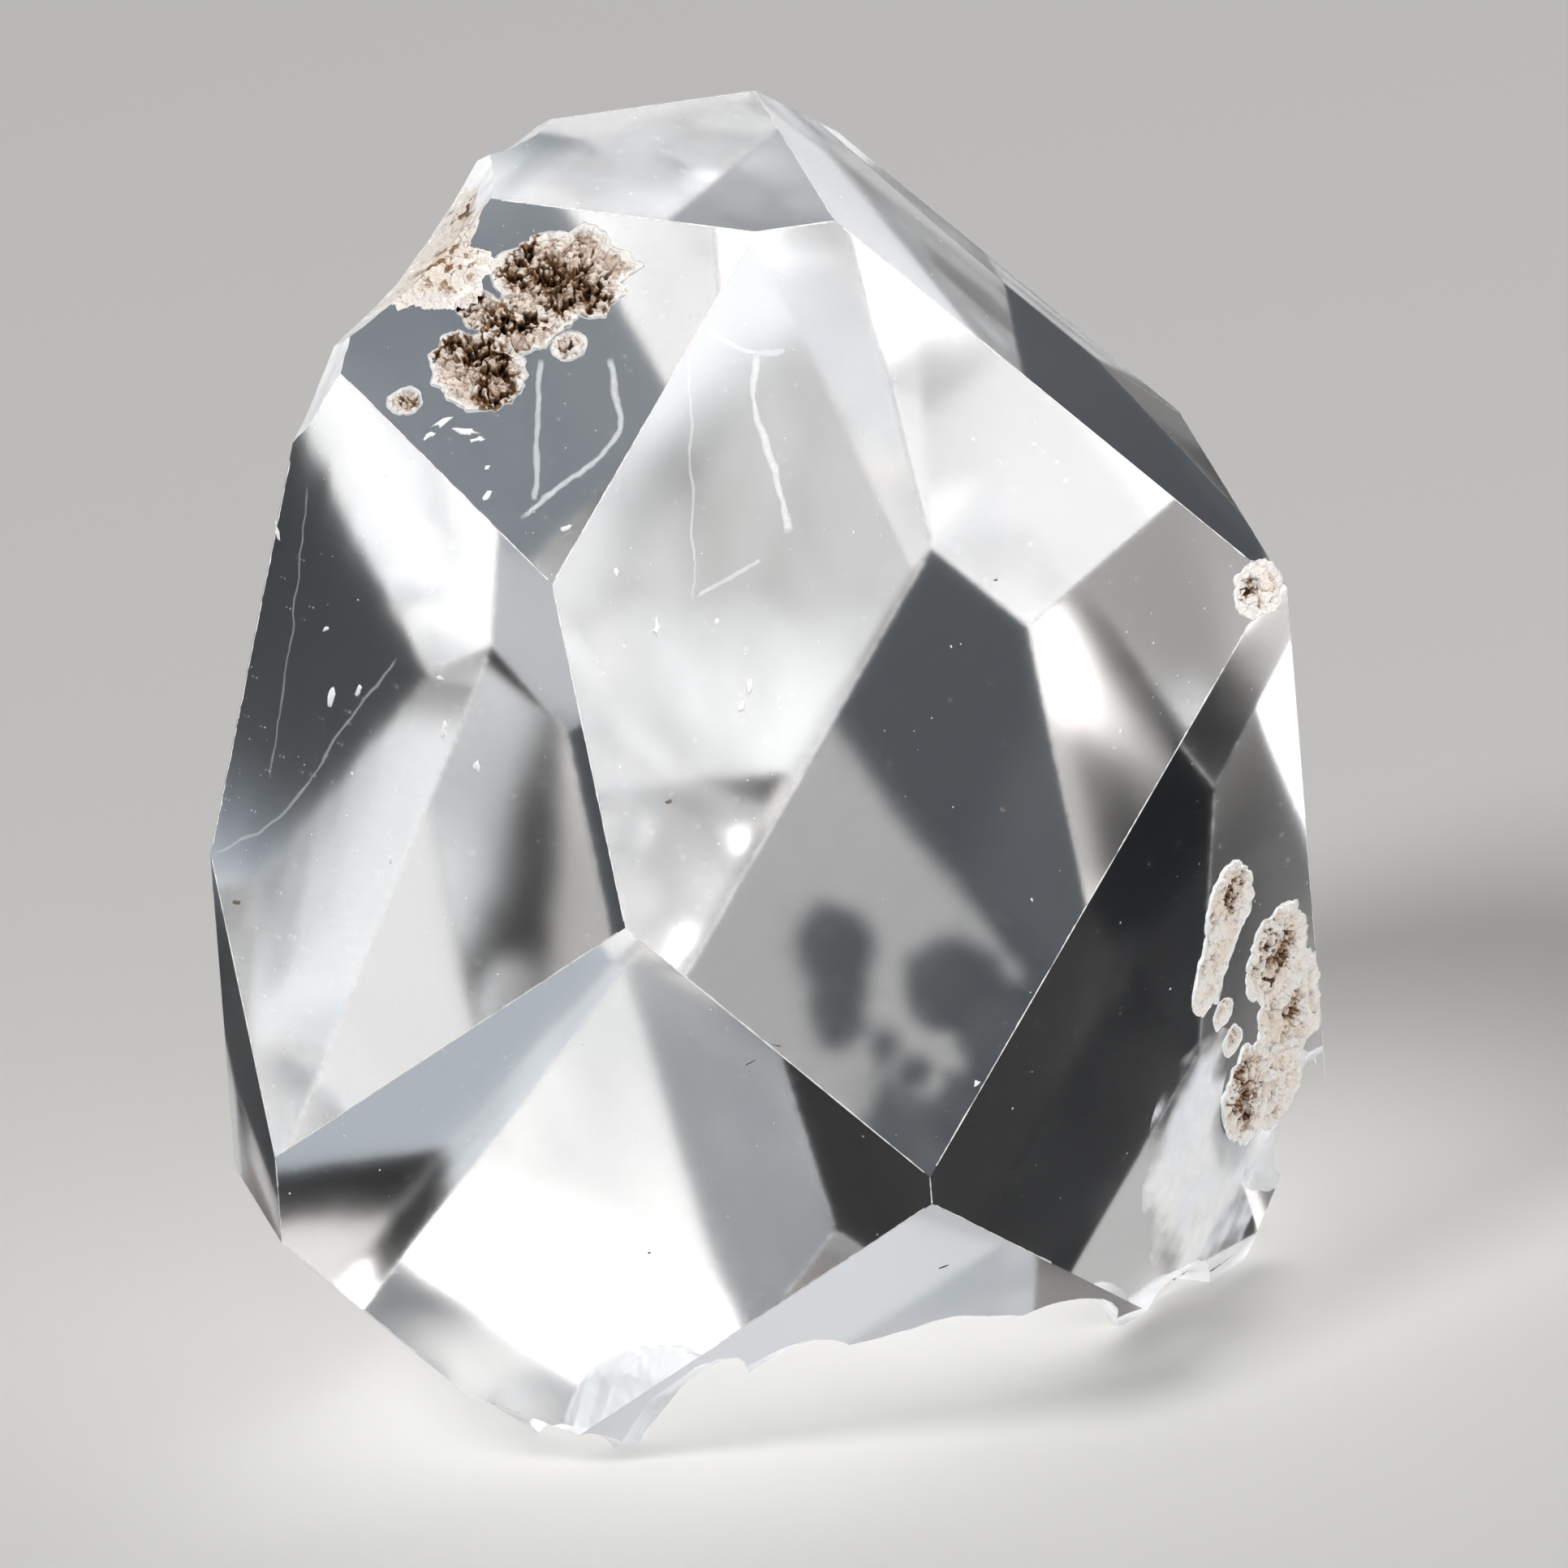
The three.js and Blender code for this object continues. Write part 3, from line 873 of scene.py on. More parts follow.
class HERKIMER_OT_edge_crust(bpy.types.Operator):
    """Lay the thin bruised crust along the broken corner"""

    bl_idname = "herkimer.edge_crust"
    bl_label = "Edge crust"

    def execute(self, context):
        rows, spokes = 110, 420
        far = np.linspace(0, 1, rows + 1)[:, None]
        turn = circle(spokes, -math.pi)[None]
        angles, reaches = np.array(EDGE_CRUST_REACH).T
        reach = np.interp(np.degrees(turn), angles, reaches, period=360)
        ring = np.stack([np.cos(turn), np.sin(turn), 0 * turn], -1)
        reach = reach * (1 + 0.14 * waves(ring * reach[..., None], 0.7, 12, octaves=5, fall=0.7))
        reach = self.on_crystal(far, reach, ring)
        flat = np.array(EDGE_CRUST_MIDDLE) + (far * reach)[..., None] * ring[..., :2]
        places = flat.reshape(-1, 2)
        height, hollow, tone = crust_relief(EDGE_CRUST_FACE, places, 0.11, 77)
        specks = waves(np.column_stack([places, 0 * tone]), 0.5, 21, octaves=3, fall=0.7)
        for middle, spread in EDGE_CRUST_SPECKS:
            near = np.exp(-(np.linalg.norm(places - np.array(middle), axis=1) / spread) ** 2)
            hollow = np.maximum(hollow * 0.5, 0.85 * near * np.clip(specks / 0.3, 0, 1))
        height = (0.05 + 0.3 * height.reshape(flat.shape[:2])) * np.clip((1 - far) * 7, 0, 1)
        height = np.clip(height, -0.01, 0.1)
        height[-1] = CRUST_RIM
        upper = self.draped(flat, height)
        lower = self.draped(flat[-2::-8], -0.03 + 0 * height[-2::-8])
        points, faces = sheet_mesh(upper, lower)
        mesh = make_mesh("edge_crust", points, faces)
        piece = make_object("dolomite_edge_crust", mesh)
        tone, hollow = (value.reshape(flat.shape[:2])[1:].ravel() for value in (tone, hollow))
        rim = np.clip(0.2 + 0.4 * (far[1:] + 0 * turn).ravel(), 0, 1)
        below = np.zeros(len(points) - len(tone))
        set_attributes(mesh, tone=np.append(0.45 + 0.5 * tone, below + 0.5),
                       hollow=np.append(hollow, below), rim=np.append(rim, below))
        dress(piece, bpy.data.materials["dolomite_crust"])
        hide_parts("edge_crust")
        return {"FINISHED"}

    def on_crystal(self, far, reach, ring):
        """The reach of each spoke, cut short where the crystal ends under it."""
        flat = np.array(EDGE_CRUST_MIDDLE) + (far * reach)[..., None] * ring[..., :2]
        normals, distances = planes()
        over = ((self.draped(flat, 0.0) - MIDDLE) @ normals.T - distances).max(-1)
        gone = np.vstack([over, np.ones_like(over[:1])]) > 0.02
        kept = np.minimum(gone.argmax(0), len(far) - 1) / (len(far) - 1)
        kept = np.minimum.reduce([np.roll(kept, shift) for shift in (-1, 0, 1)])
        return reach * kept

    def draped(self, flat, height):
        """Places on the face, moved straight down to the crystal's surface and then up by a
        height: the surface is the deepest of the planes and broken balls over the crystal there."""
        normal = FACES[EDGE_CRUST_FACE][0]
        points = on_face(EDGE_CRUST_FACE, flat[..., 0], flat[..., 1])
        drop = np.zeros(points.shape[:-1])
        for name, (slope, distance) in FACES.items():
            if name != EDGE_CRUST_FACE and normal @ slope > 0.2:
                drop = np.maximum(drop, ((points - MIDDLE) @ slope - distance) / (normal @ slope))
        for name in ("crusted_corner", "top_corner", "glassy_corner"):
            centre, _, _, _, radius = break_axes(name)
            along = (points - centre) @ normal
            inside = radius**2 - ((points - centre) ** 2).sum(-1) + along**2
            half = np.sqrt(np.maximum(inside, 0))
            deep = along + half
            met = points - deep[..., None] * normal
            lean = np.clip((centre - met) @ normal / radius, 0.4, 1)
            deep = deep + break_relief(name, met) / lean
            drop = np.where((inside > 0) & (along - half < drop), np.maximum(drop, deep), drop)
        return points + (height - drop)[..., None] * normal


# Healed cracks: the face that they lie under, and the line of each as places on it.
VEINS = (
    ("l0", 0.035, ((-4.16, 5.23), (-4.38, 3.69), (-4.56, 2.53), (-4.72, 1.86))),
    ("l0", 0.04, ((-2.57, 5.01), (-2.63, 4.23), (-2.59, 3.44), (-2.82, 2.98), (-3.92, 2.2),
                  (-5.1, 1.42))),
    ("m0", 0.035, ((-3.7, 11.64), (-3.31, 11.15), (-2.66, 10.77), (-1.93, 10.61))),
    ("m0", 0.05, ((-2.66, 10.77), (-3.01, 10.03), (-3.14, 9.32), (-3.06, 8.55), (-3.1, 7.44),
                  (-3.09, 6.78))),
    ("m0", 0.022, ((-4.39, 11.24), (-5.02, 9.13), (-5.97, 6.08))),
    ("m0", 0.03, ((-5.87, 6.11), (-4.93, 6.26), (-4.0, 6.4))),
    ("l1", 0.015, ((-3.82, 9.09), (-4.25, 6.12), (-4.94, 2.39))),
    ("l1", 0.02, ((-6.42, 0.49), (-4.52, 1.7), (-2.99, 3.69), (-1.46, 5.49))),
)

# The cloudy patch: face, place under it, half sizes, turn and depth.
CLOUD = ("u0", (5.0, -7.6), (3.8, 2.5, 0.06), -65, 0.6)
# Points round a healed crack's band.
RIBBON_SIDES = 10


def smooth_path(points, count):
    """A smooth curve through the points: each coordinate is a cubic between its neighbours,
    with slopes from the points on either side."""
    points = np.asarray(points, float)
    padded = np.vstack([2 * points[0] - points[1], points, 2 * points[-1] - points[-2]])
    t = np.linspace(0, len(points) - 1, count)
    i = np.minimum(t.astype(int), len(points) - 2)
    u = (t - i)[:, None]
    a, b, c, d = (padded[i + k] for k in range(4))
    return 0.5 * (2 * b + (c - a) * u + (2 * a - 5 * b + 4 * c - d) * u**2
                  + (3 * b - 3 * c + d - a) * u**3)


def tube(path, radii, sides=8):
    """A closed tube of changing radius along a path: a ring of points square to the path at each
    of its points, and a pole at each end."""
    ahead = unit(np.gradient(path, axis=0))
    side = unit(np.cross(ahead, np.array([0.31, 0.52, 0.79])))
    other = np.cross(ahead, side)
    turn = circle(sides)[None, :, None]
    ring = np.cos(turn) * side[:, None] + np.sin(turn) * other[:, None]
    first, last = path[:1] - ahead[:1] * radii[0], path[-1:] + ahead[-1:] * radii[-1]
    points, faces = capped_mesh(first, path[:, None] + radii[:, None, None] * ring, last)
    return points, [block[:, ::-1] for block in faces]


def ribbon(path, normal, width, thickness, sides=RIBBON_SIDES):
    """A closed flat band along a path, wide across the normal and thin along it: an ellipse of
    points square to the path at each of its points, and a pole at each end. Also how near each
    point is to the band's middle line, from 0 at its borders to 1."""
    side = np.cross(normal, unit(np.gradient(path, axis=0)))
    turn = circle(sides)[None, :, None]
    flat = 0.5 * width[:, None, None] * np.cos(turn) * side[:, None]
    rings = path[:, None] + flat + 0.5 * thickness * np.sin(turn) * normal
    points, faces = capped_mesh(path[:1], rings, path[-1:])
    middle = np.tile(np.sin(turn[0, :, 0]) ** 2, len(path))
    return points, faces, np.append(middle, [0.0, 0.0])


class HERKIMER_OT_veins(bpy.types.Operator):
    """Draw the healed cracks just under the faces"""

    bl_idname = "herkimer.veins"
    bl_label = "Healed cracks"

    def execute(self, context):
        settings = context.scene.herkimer_marks
        parts, strengths = [], []
        for number, (face, radius, line) in enumerate(VEINS):
            line = smooth_path(line, 40 * len(line))
            path = on_face(face, line[:, 0], line[:, 1], -0.09)
            path = path + 0.05 * np.stack([waves(path, 1.3, 60 + number + k) for k in (0, 20, 40)], -1)
            width = 4 * radius * (1 + 0.35 * waves(path, 0.8, 90 + number))
            points, faces, middle = ribbon(path, FACES[face][0], width, 0.02)
            parts.append((points, faces))
            ends = np.clip(8 * np.sin(math.pi * np.linspace(0, 1, len(path))), 0, 1)
            ends = np.append(np.repeat(ends, RIBBON_SIDES), [0, 0])
            strengths.append(middle * ends * min(0.55, 11 * radius))
        self.fading("healed_cracks", *joined(parts), np.concatenate(strengths),
                    settings.vein_colour, (0.74, 0.75, 0.78), 0.6, 2500.0)
        self.cloud()
        return {"FINISHED"}

    def fading(self, name, points, faces, strength, *finish):
        """A smooth thin piece, see-through where its strength is low."""
        mesh = make_mesh(name, points, faces)
        mesh.shade_smooth()
        set_attributes(mesh, strength=strength)
        dress(make_object(name, mesh), mark_material(name, *finish, "strength"))

    def cloud(self):
        """A cloudy patch of healed cracks inside: a thin lens that fades towards its rim, and is
        drawn in towards its centre where it would leave the crystal."""
        face, (across, up), size, turn, deep = CLOUD
        centre, axes = pit_place((face, (across, up), size, turn))
        centre = centre - deep * axes[2]
        points, faces = ball(centre, axes, size, 50, 120, 0.02, 0.9, 8)
        local = ((points - centre) @ axes.T)[:, :2] / np.array(size[:2])
        far = np.linalg.norm(local, axis=1) * (1 + 0.3 * waves(points, 1.6, 33, octaves=3))
        strength = 0.95 * np.sin(0.5 * math.pi * np.clip(1.9 * (1 - far), 0, 1)) ** 2
        steps = 40
        shares = np.linspace(0, 1, steps + 1)[:, None, None]
        held = np.logical_and.accumulate(self.held(centre + shares * (points - centre)), axis=0)
        points = centre + (held.sum(0) - 1)[:, None] / steps * (points - centre)
        self.fading("cloudy_patch", points, faces, strength, (0.96, 0.95, 0.93), (0.84, 0.86, 0.89),
                    0.7, 700.0)

    def held(self, points):
        """True where a point lies inside the crystal, clear of its faces, breaks and pits."""
        normals, distances = planes()
        over = ((points - MIDDLE) @ normals.T - distances).max(-1)
        return (over < -CLOUD_MARGIN) & ~carved(points, CLOUD_MARGIN)


# White chips and bubbles: face, place on it, length, width and turn.
CHIPS = (
    ("m0", (-7.11, 5.73), 0.34, 0.14, 65), ("m0", (-5.18, 3.85), 0.36, 0.2, 70),
    ("m0", (-5.53, 3.48), 0.24, 0.13, 40), ("m0", (-5.54, 5.45), 0.13, 0.1, 10),
    ("m0", (-7.72, 7.22), 0.14, 0.1, 80), ("m0", (-8.63, 8.51), 0.2, 0.1, 0),
    ("m0", (-8.98, 3.1), 0.1, 0.07, 30), ("l1", (-3.3, 4.38), 0.42, 0.15, 80),
    ("l1", (-3.39, 5.93), 0.16, 0.1, 30), ("l1", (-2.55, 4.65), 0.22, 0.12, 60),
    ("l1", (-0.3, 3.97), 0.28, 0.12, 75), ("l1", (0.55, 3.23), 0.24, 0.14, 80),
    ("l1", (-0.4, 5.14), 0.16, 0.1, 0), ("l1", (-4.65, 7.99), 0.34, 0.1, 100),
    ("l1", (-1.74, 0.89), 0.14, 0.1, 90), ("l0", (-6.49, 3.98), 0.34, 0.12, 20),
    ("l0", (-5.98, 3.71), 0.42, 0.13, -20), ("l0", (-5.74, 3.48), 0.26, 0.12, 10),
    ("l0", (-6.79, 3.72), 0.24, 0.09, 30), ("l0", (-5.74, 2.1), 0.2, 0.12, 40),
    ("l0", (-5.65, 2.78), 0.13, 0.09, 0), ("m0", (-2.29, -6.17), 0.16, 0.1, 0),
)
# Dark specks and needles, in the same way.
SPECKS = (
    ("m0", (-8.01, 2.01), 0.12, 0.1, 0), ("m0", (0.26, -0.63), 0.13, 0.12, 30),
    ("m0", (1.68, 4.25), 0.08, 0.07, 0), ("l1", (-5.83, -0.49), 0.16, 0.12, 20),
    ("u1", (-0.13, 0.55), 0.2, 0.1, 15), ("m1", (1.71, 2.85), 0.3, 0.03, 30),
    ("m1", (2.34, 3.31), 0.22, 0.03, -20), ("m1", (-1.58, -2.74), 0.07, 0.05, 0),
)

# Square millimetres of faces to a full count of dust.
DUST_AREA = 1500


def chip(face, place, length, width, turn, seed, sides=9):
    """A flat angular flake just under a face: an ellipse of a few corners, each moved in or out
    by chance, drawn in to a point above and below."""
    draw = np.random.default_rng(seed)
    turns = circle(sides) + draw.uniform(-0.25, 0.25, sides)
    reach = draw.uniform(0.4, 1.15, sides)
    x, y = length / 2 * reach * np.cos(turns), width / 2 * reach * np.sin(turns)
    c, s = math.cos(math.radians(turn)), math.sin(math.radians(turn))
    across, up = c * x - s * y, s * x + c * y
    deep = -0.04 - 0.25 * width

    def layer(share, lift):
        return on_face(face, place[0] + share * across, place[1] + share * up, deep + lift * width)

    rings = np.stack([layer(0.7, 0.18), layer(1, 0)])
    return capped_mesh(layer(0, 0.24)[:1], rings, layer(0, -0.3)[:1])


class HERKIMER_OT_inclusions(bpy.types.Operator):
    """Put chips, bubbles, dark specks and dust in and on the faces"""

    bl_idname = "herkimer.inclusions"
    bl_label = "Inclusions"

    def execute(self, context):
        settings = context.scene.herkimer_marks
        groups = (
            ("white_chips", CHIPS, settings.chip_colour, (0.7, 0.7, 0.72)),
            ("dark_specks", SPECKS, settings.speck_colour, (0.16, 0.13, 0.11)),
            ("dust", self.dust(settings.dust), settings.chip_colour, (0.75, 0.75, 0.75)),
        )
        for number, (name, marks, colour, other) in enumerate(groups):
            larger = 1.0 if name == "dust" else 1.5
            parts = [chip(face, place, larger * length, larger * width, turn, 1000 * number + k,
                          5 if name == "dust" else 9)
                     for k, (face, place, length, width, turn) in enumerate(marks)]
            piece = make_object(name, make_mesh(name, *joined(parts)))
            dress(piece, mark_material(name, colour, other, 0.5, 6000.0))
        return {"FINISHED"}

    def dust(self, count):
        """Tiny specks spread by chance over the whole crystal's faces, more of them on some."""
        draw = np.random.default_rng(5)
        corners, polygons = crystal_hull()
        marks = []
        for name, polygon in zip(FACES, polygons):
            if name == "rest":
                continue
            ring = flat_on(name, corners[polygon[0]])
            low, high = ring.min(0), ring.max(0)
            area = np.prod(high - low)
            for _ in range(int(count * area / DUST_AREA)):
                place = draw.uniform(low, high)
                edges = np.roll(ring, -1, 0) - ring
                away = edges[:, 0] * (place[1] - ring[:, 1]) - edges[:, 1] * (place[0] - ring[:, 0])
                size = 0.04 * draw.lognormal(0, 0.4)
                if (away > 0.3).all() and not worn_away(on_face(name, *place)):
                    marks.append((name, tuple(place), size, size * 0.7, draw.uniform(0, 180)))
        return marks


class HERKIMER_OT_edge_glint_and_wear(bpy.types.Operator):
    """Line the crystal's edges with fine white bruises: partly real edge wear, partly a painted
    highlight along each edge
    """

    bl_idname = "herkimer.edge_wear"
    bl_label = "Edge glint and wear"

    def execute(self, context):
        parts = []
        for number, (start, end, pair) in enumerate(hull_edges()):
            if "rest" in pair:
                continue
            inward = -unit(FACES[pair[0]][0] + FACES[pair[1]][0])
            length = np.linalg.norm(end - start)
            path = start + np.linspace(0.02, 0.98, max(8, int(length / 0.06)))[:, None] * (end - start)
            radii = 0.011 * (1 + 0.9 * waves(path, 0.5, 700 + number, octaves=4, fall=0.8))
            radii = np.clip(radii, 0.0035, 0.03)
            path = path + inward * (0.012 + radii[:, None])
            kept = ~worn_away(path)
            runs = np.split(np.arange(len(path)), np.nonzero(np.diff(kept.astype(int)))[0] + 1)
            parts += [tube(path[run], radii[run], 5) for run in runs if kept[run[0]] and len(run) > 4]
        # The white tubes are partly real wear and partly a painted highlight where the edges catch the
        # light.
        piece = make_object("edge_glints_and_bruises", make_mesh("edge_glints_and_bruises", *joined(parts)))
        colour = context.scene.herkimer_marks.chip_colour
        material = mark_material("edge_glint_and_bruise", colour, (0.7, 0.68, 0.66), 0.5, 6000.0)
        dress(piece, material)
        return {"FINISHED"}


# --- Stage ------------------------------------------------------------------------------------

FLOOR_HALF = 600.0
FLOOR_HEIGHT = -0.02
# How far right of the crystal's middle and above it the camera aims, and how far away it stands.
VIEW_AIM = (0.26185, 0.52996)
VIEW_DISTANCE = 200.0
# A light tent of white cloth stands round the crystal. It has eight panels in each of three bands.
TENT_RADIUS = 50.0
TENT_ROWS = 24
TENT_EIGHTHS = 8
TENT_BANDS = 3
# A face of the tent reaches no farther than this round its centre, in degrees.
TENT_FACE = 6
# Its darker and brighter places: azimuth from straight behind and elevation in degrees, radius and
# softness in degrees, and brightness. Those brighter than 1 are lamps that shine through the cloth.
TENT_PLACES = (
    (-28, -33, 6, 10, 0.5),
    (91, -18, 6, 6, 0.45),
    (131, -14, 7, 11, 0.45),
    (-50, -9, 8, 12, 0.35),
    (29, 0, 5, 5, 0.5),
    (-127, -3, 6, 6, 0.5),
    (-130, -18, 7, 8, 0.7),
    (116, -26, 6, 8, 0.65),
    (28, -44, 5, 7, 0.4),
    (178, -49, 5, 5, 0.5),
    (147, -2, 7, 9, 0.3),
    (-179, 38, 6, 6, 0.5),
    (-88, -41, 7, 7, 0.55),
    (-65, -21, 8, 12, 0.6),
    (72, 19, 6, 9, 0.5),
    (-133, -35, 5, 6, 0.5),
    (-178, -29, 5, 4, 0.4),
    (-103, -10, 5, 4, 0.45),
    (-27, 7, 5, 5, 0.5),
    (-79, 53, 6, 8, 0.6),
    (161, -32, 5, 4, 0.7),
    (-74, 40, 6, 8, 0.45),
    (-48, -36, 6, 8, 0.75),
    (0, -90, 25, 15, 1.6),
    (-6, -69, 8, 8, 0.6),
    (180, 5, 33, 13, 0.28),
    (-104, -23, 6, 9, 0.42),
    (-106, 3, 10, 4, 0.3),
    (-38, -52, 8, 9, 0.1),
    (102, -48, 7, 7, 0.8),
    (103, 3, 6, 6, 0.72),
    (-80, -17, 4, 4, 0.5),
    (50, -54, 6, 6, 0.17),
    (39, -66, 4, 3, 0.12),
    (16, 27, 6, 9, 0.6),
    (62, -22, 7, 7, 0.44),
    (10, -42, 6, 6, 0.2),
    (166, -27, 2, 3, 0.3),
    (157, 63, 7, 7, 0.42),
    (133, 31, 4, 4, 0.2),
    (129, 40, 4, 4, 0.5),
    (151, 30, 4, 3, 0.3),
    (-156, 31, 8, 4, 0.26),
    (-3, 17, 5, 7, 0.22),
    (41, 5, 7, 6, 0.2),
    (39, -22, 8, 7, 0.03),
    (-2, -22, 11, 9, 0.06),
    (-16, -5, 10, 7, 0.005),
    (121, 19, 8, 4, 7.0),
    (-85, 4, 9, 4, 2.6),
    (-144, 63, 7, 5, 4.0),
    (104, 55, 7, 5, 3.0),
    (74, 67, 7, 5, 3.5),
    (-92, -15, 6, 4, 3.0),
    (151, 42, 4, 4, 1.8),
    (6, -4, 8, 3, 2.5),
    (83, -29, 6, 5, 3.5),
    (64, -41, 5, 4, 2.0),
    (-147, 25, 3, 3, 1.3),
    (-156, 31, 3, 4, 0.04),
)


def direction(azimuth, elevation):
    """A unit vector: azimuth 0 is straight behind the crystal, 90 to its right."""
    a, e = math.radians(azimuth), math.radians(elevation)
    return (math.sin(a) * math.cos(e), math.cos(a) * math.cos(e), math.sin(e))


class HERKIMER_OT_stage(bpy.types.Operator):
    """Set the floor, the lights and the camera"""

    bl_idname = "herkimer.stage"
    bl_label = "Floor, light and camera"

    def execute(self, context):
        settings = context.scene.herkimer_stage
        self.floor(settings)
        self.tent(settings)
        self.world(context.scene, settings)
        self.lights(settings)
        self.camera(context.scene, settings)
        context.scene.view_settings.view_transform = "Standard"
        context.scene.cycles.use_denoising = True
        context.scene.cycles.max_bounces = 24
        context.scene.cycles.transmission_bounces = 20
        context.scene.cycles.caustics_reflective = False
        context.scene.cycles.caustics_refractive = True
        return {"FINISHED"}

    def floor(self, settings):
        corners = np.array([[-1, -1, 0], [1, -1, 0], [1, 1, 0], [-1, 1, 0]]) * FLOOR_HALF
        corners = corners + FLOOR_HEIGHT * UP
        made = make_object("floor", make_mesh("floor", corners, [np.array([[0, 1, 2, 3]])]))
        material, nodes = new_material("floor")
        nodes.finish({"Base Color": (*settings.floor_colour, 1), "Roughness": 0.9,
                      "Specular IOR Level": 0.1})
        made.data.materials.append(material)
        made.visible_glossy = made.visible_transmission = False
        made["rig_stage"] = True

    def tent(self, settings):
        """A ball of cloth in panels, eight round it in each of three bands, that only the crystal's
        faces see. Each panel's cloth has the places that come near the panel."""
        sizes = (TENT_RADIUS,) * 3
        mesh = make_mesh("tent", *ball(MIDDLE, np.eye(3), sizes, TENT_ROWS, 2 * TENT_ROWS))
        ways = unit(vectors(mesh.polygons, "center") / MM - MIDDLE)
        turn = np.arctan2(ways[:, 1], ways[:, 0]) / (2 * math.pi)
        eighth = np.floor(TENT_EIGHTHS * turn) % TENT_EIGHTHS
        band = np.clip(np.floor(TENT_BANDS * (1 + ways[:, 2]) / 2), 0, TENT_BANDS - 1)
        panels = (TENT_EIGHTHS * band + eighth).astype(np.int32)
        for panel in range(TENT_EIGHTHS * TENT_BANDS):
            mesh.materials.append(self.cloth(settings, ways[panels == panel]))
        mesh.polygons.foreach_set("material_index", panels)
        made = make_object("tent", mesh)
        made.visible_camera = made.visible_diffuse = made.visible_shadow = False
        made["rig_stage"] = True

    def cloth(self, settings, panel):
        """Cloth that shines by itself. Each place is a soft disc round its direction, soft folds
        change the brightness a little, and where the cloth is dim it is bluish. Places that don't
        reach the panel are left out."""
        material, nodes = new_material("tent")
        material.cycles.emission_sampling = "NONE"
        where = nodes.place()
        out = nodes.vector_maths("SUBTRACT", [where, tuple(MIDDLE * MM)])
        way = nodes.vector_maths("NORMALIZE", [out])
        total = 0.9 + 0.2 * nodes.noise(where, 90.0, 2.0, 0.5)
        for azimuth, elevation, radius, soft, level in TENT_PLACES:
            centre = direction(azimuth, elevation)
            reach, edge = math.radians(radius + soft + TENT_FACE), math.radians(radius + soft)
            if (panel @ centre).max() < math.cos(reach):
                continue
            facing = nodes.vector_maths("DOT_PRODUCT", [way, centre], "Value")
            place = facing.step(math.cos(edge), math.cos(math.radians(radius)))
            total = total + place * (level - total)
        glossy = nodes.add("ShaderNodeLightPath", {}, (), "Is Glossy Ray")
        passed = nodes.add("ShaderNodeLightPath", {}, (), "Is Transmission Ray")
        dim = nodes.mix(total.step(0.1, 0.9), (0.76, 0.88, 1.0), (0.955, 0.98, 1.0))
        total = total * (1 - glossy * (1 - passed) * (1 - settings.mirrored))
        behind = nodes.vector_maths("DOT_PRODUCT", [way, (0, 1, 0)], "Value")
        tint = nodes.mix(behind.step(-0.7, 0.3), (1.0, 0.965, 0.925), dim)
        colour = nodes.vector_maths("SCALE", {"Vector": tint, "Scale": total})
        nodes.finish({"Base Color": (0, 0, 0, 1), "Specular IOR Level": 0.0, "Emission Color": colour,
                      "Emission Strength": settings.tent})
        return material

    def world(self, scene, settings):
        scene.world = bpy.data.worlds.new("studio")
        nodes = Nodes(scene.world)
        background = nodes.add("ShaderNodeBackground", {}, {
            "Color": (*settings.wall_colour, 1), "Strength": 1.0})
        output = nodes.tree.nodes.new("ShaderNodeOutputWorld")
        nodes.tree.links.new(background.link, output.inputs["Surface"])
        scene.world.cycles_visibility.diffuse = False

    def lights(self, settings):
        """Lamps that light only a group of things. On the floor: a key, in which the crystal casts
        its shadow, a second one without a shadow, and the light that the crystal bends. On the
        crusts, marks and frosted breaks: keys from three sides and from above, the light that the
        floor sends back up, and a fill. Each spot has its power, radius and cone, where it hangs
        (azimuth, elevation and distance), its aim, what it lights and what blocks it."""
        scene = bpy.context.scene
        pieces = [made for made in scene.objects if made.type == "MESH" and "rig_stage" not in made]
        solid = [made for made in pieces if made.name != "quartz_crystal"]
        ground = self.group("lit_floor", [scene.objects["floor"]])
        lit, blocking = self.group("lit_pieces", pieces), self.group("blocking_pieces", solid)
        breaks = self.group("lit_breaks", [scene.objects["quartz_crystal"]])
        key, cone, dim = settings.key, settings.key_cone, settings.piece_key
        far, low = (5, 20, 0), (0, 0, 12)
        spots = (
            ("floor_key", key, 95, cone, -140, 46, 700, far, ground, None),
            ("floor_fill", 0.8 * key, 95, cone, 40, 65, 700, far, ground, blocking),
            ("bent_light", settings.bent, 6, 24, 120, 65, 60, (9, 8, 0), ground, blocking),
            ("crust_key", dim, 14, 60, -160, 50, 130, low, lit, blocking),
            ("side_key", dim, 20, 60, 115, 35, 130, low, lit, blocking),
            ("left_key", dim, 30, 60, -75, 30, 130, low, lit, blocking),
            ("break_key", settings.break_key, 40, 60, -150, 72, 130, low, breaks, blocking),
            ("floor_bounce", 0.6 * dim, 30, 60, 175, -30, 130, (0, 0, 8), lit, blocking),
        )
        for name, power, radius, cone, *where in spots:
            self.hang(self.spot(name, power, radius, cone), *where)
        fill = bpy.data.lights.new("fill", "AREA")
        fill.shape, fill.size, fill.energy = "DISK", 120 * MM, settings.fill
        self.hang(fill, 120, 40, 150, (0, 0, 10), None, blocking)

    def group(self, name, members):
        made = bpy.data.collections.new(name)
        for member in members:
            made.objects.link(member)
        return made

    def spot(self, name, power, radius, cone):
        light = bpy.data.lights.new(name, "SPOT")
        light.energy, light.shadow_soft_size = power, radius * MM
        light.spot_size, light.spot_blend = math.radians(cone), 1.0
        return light

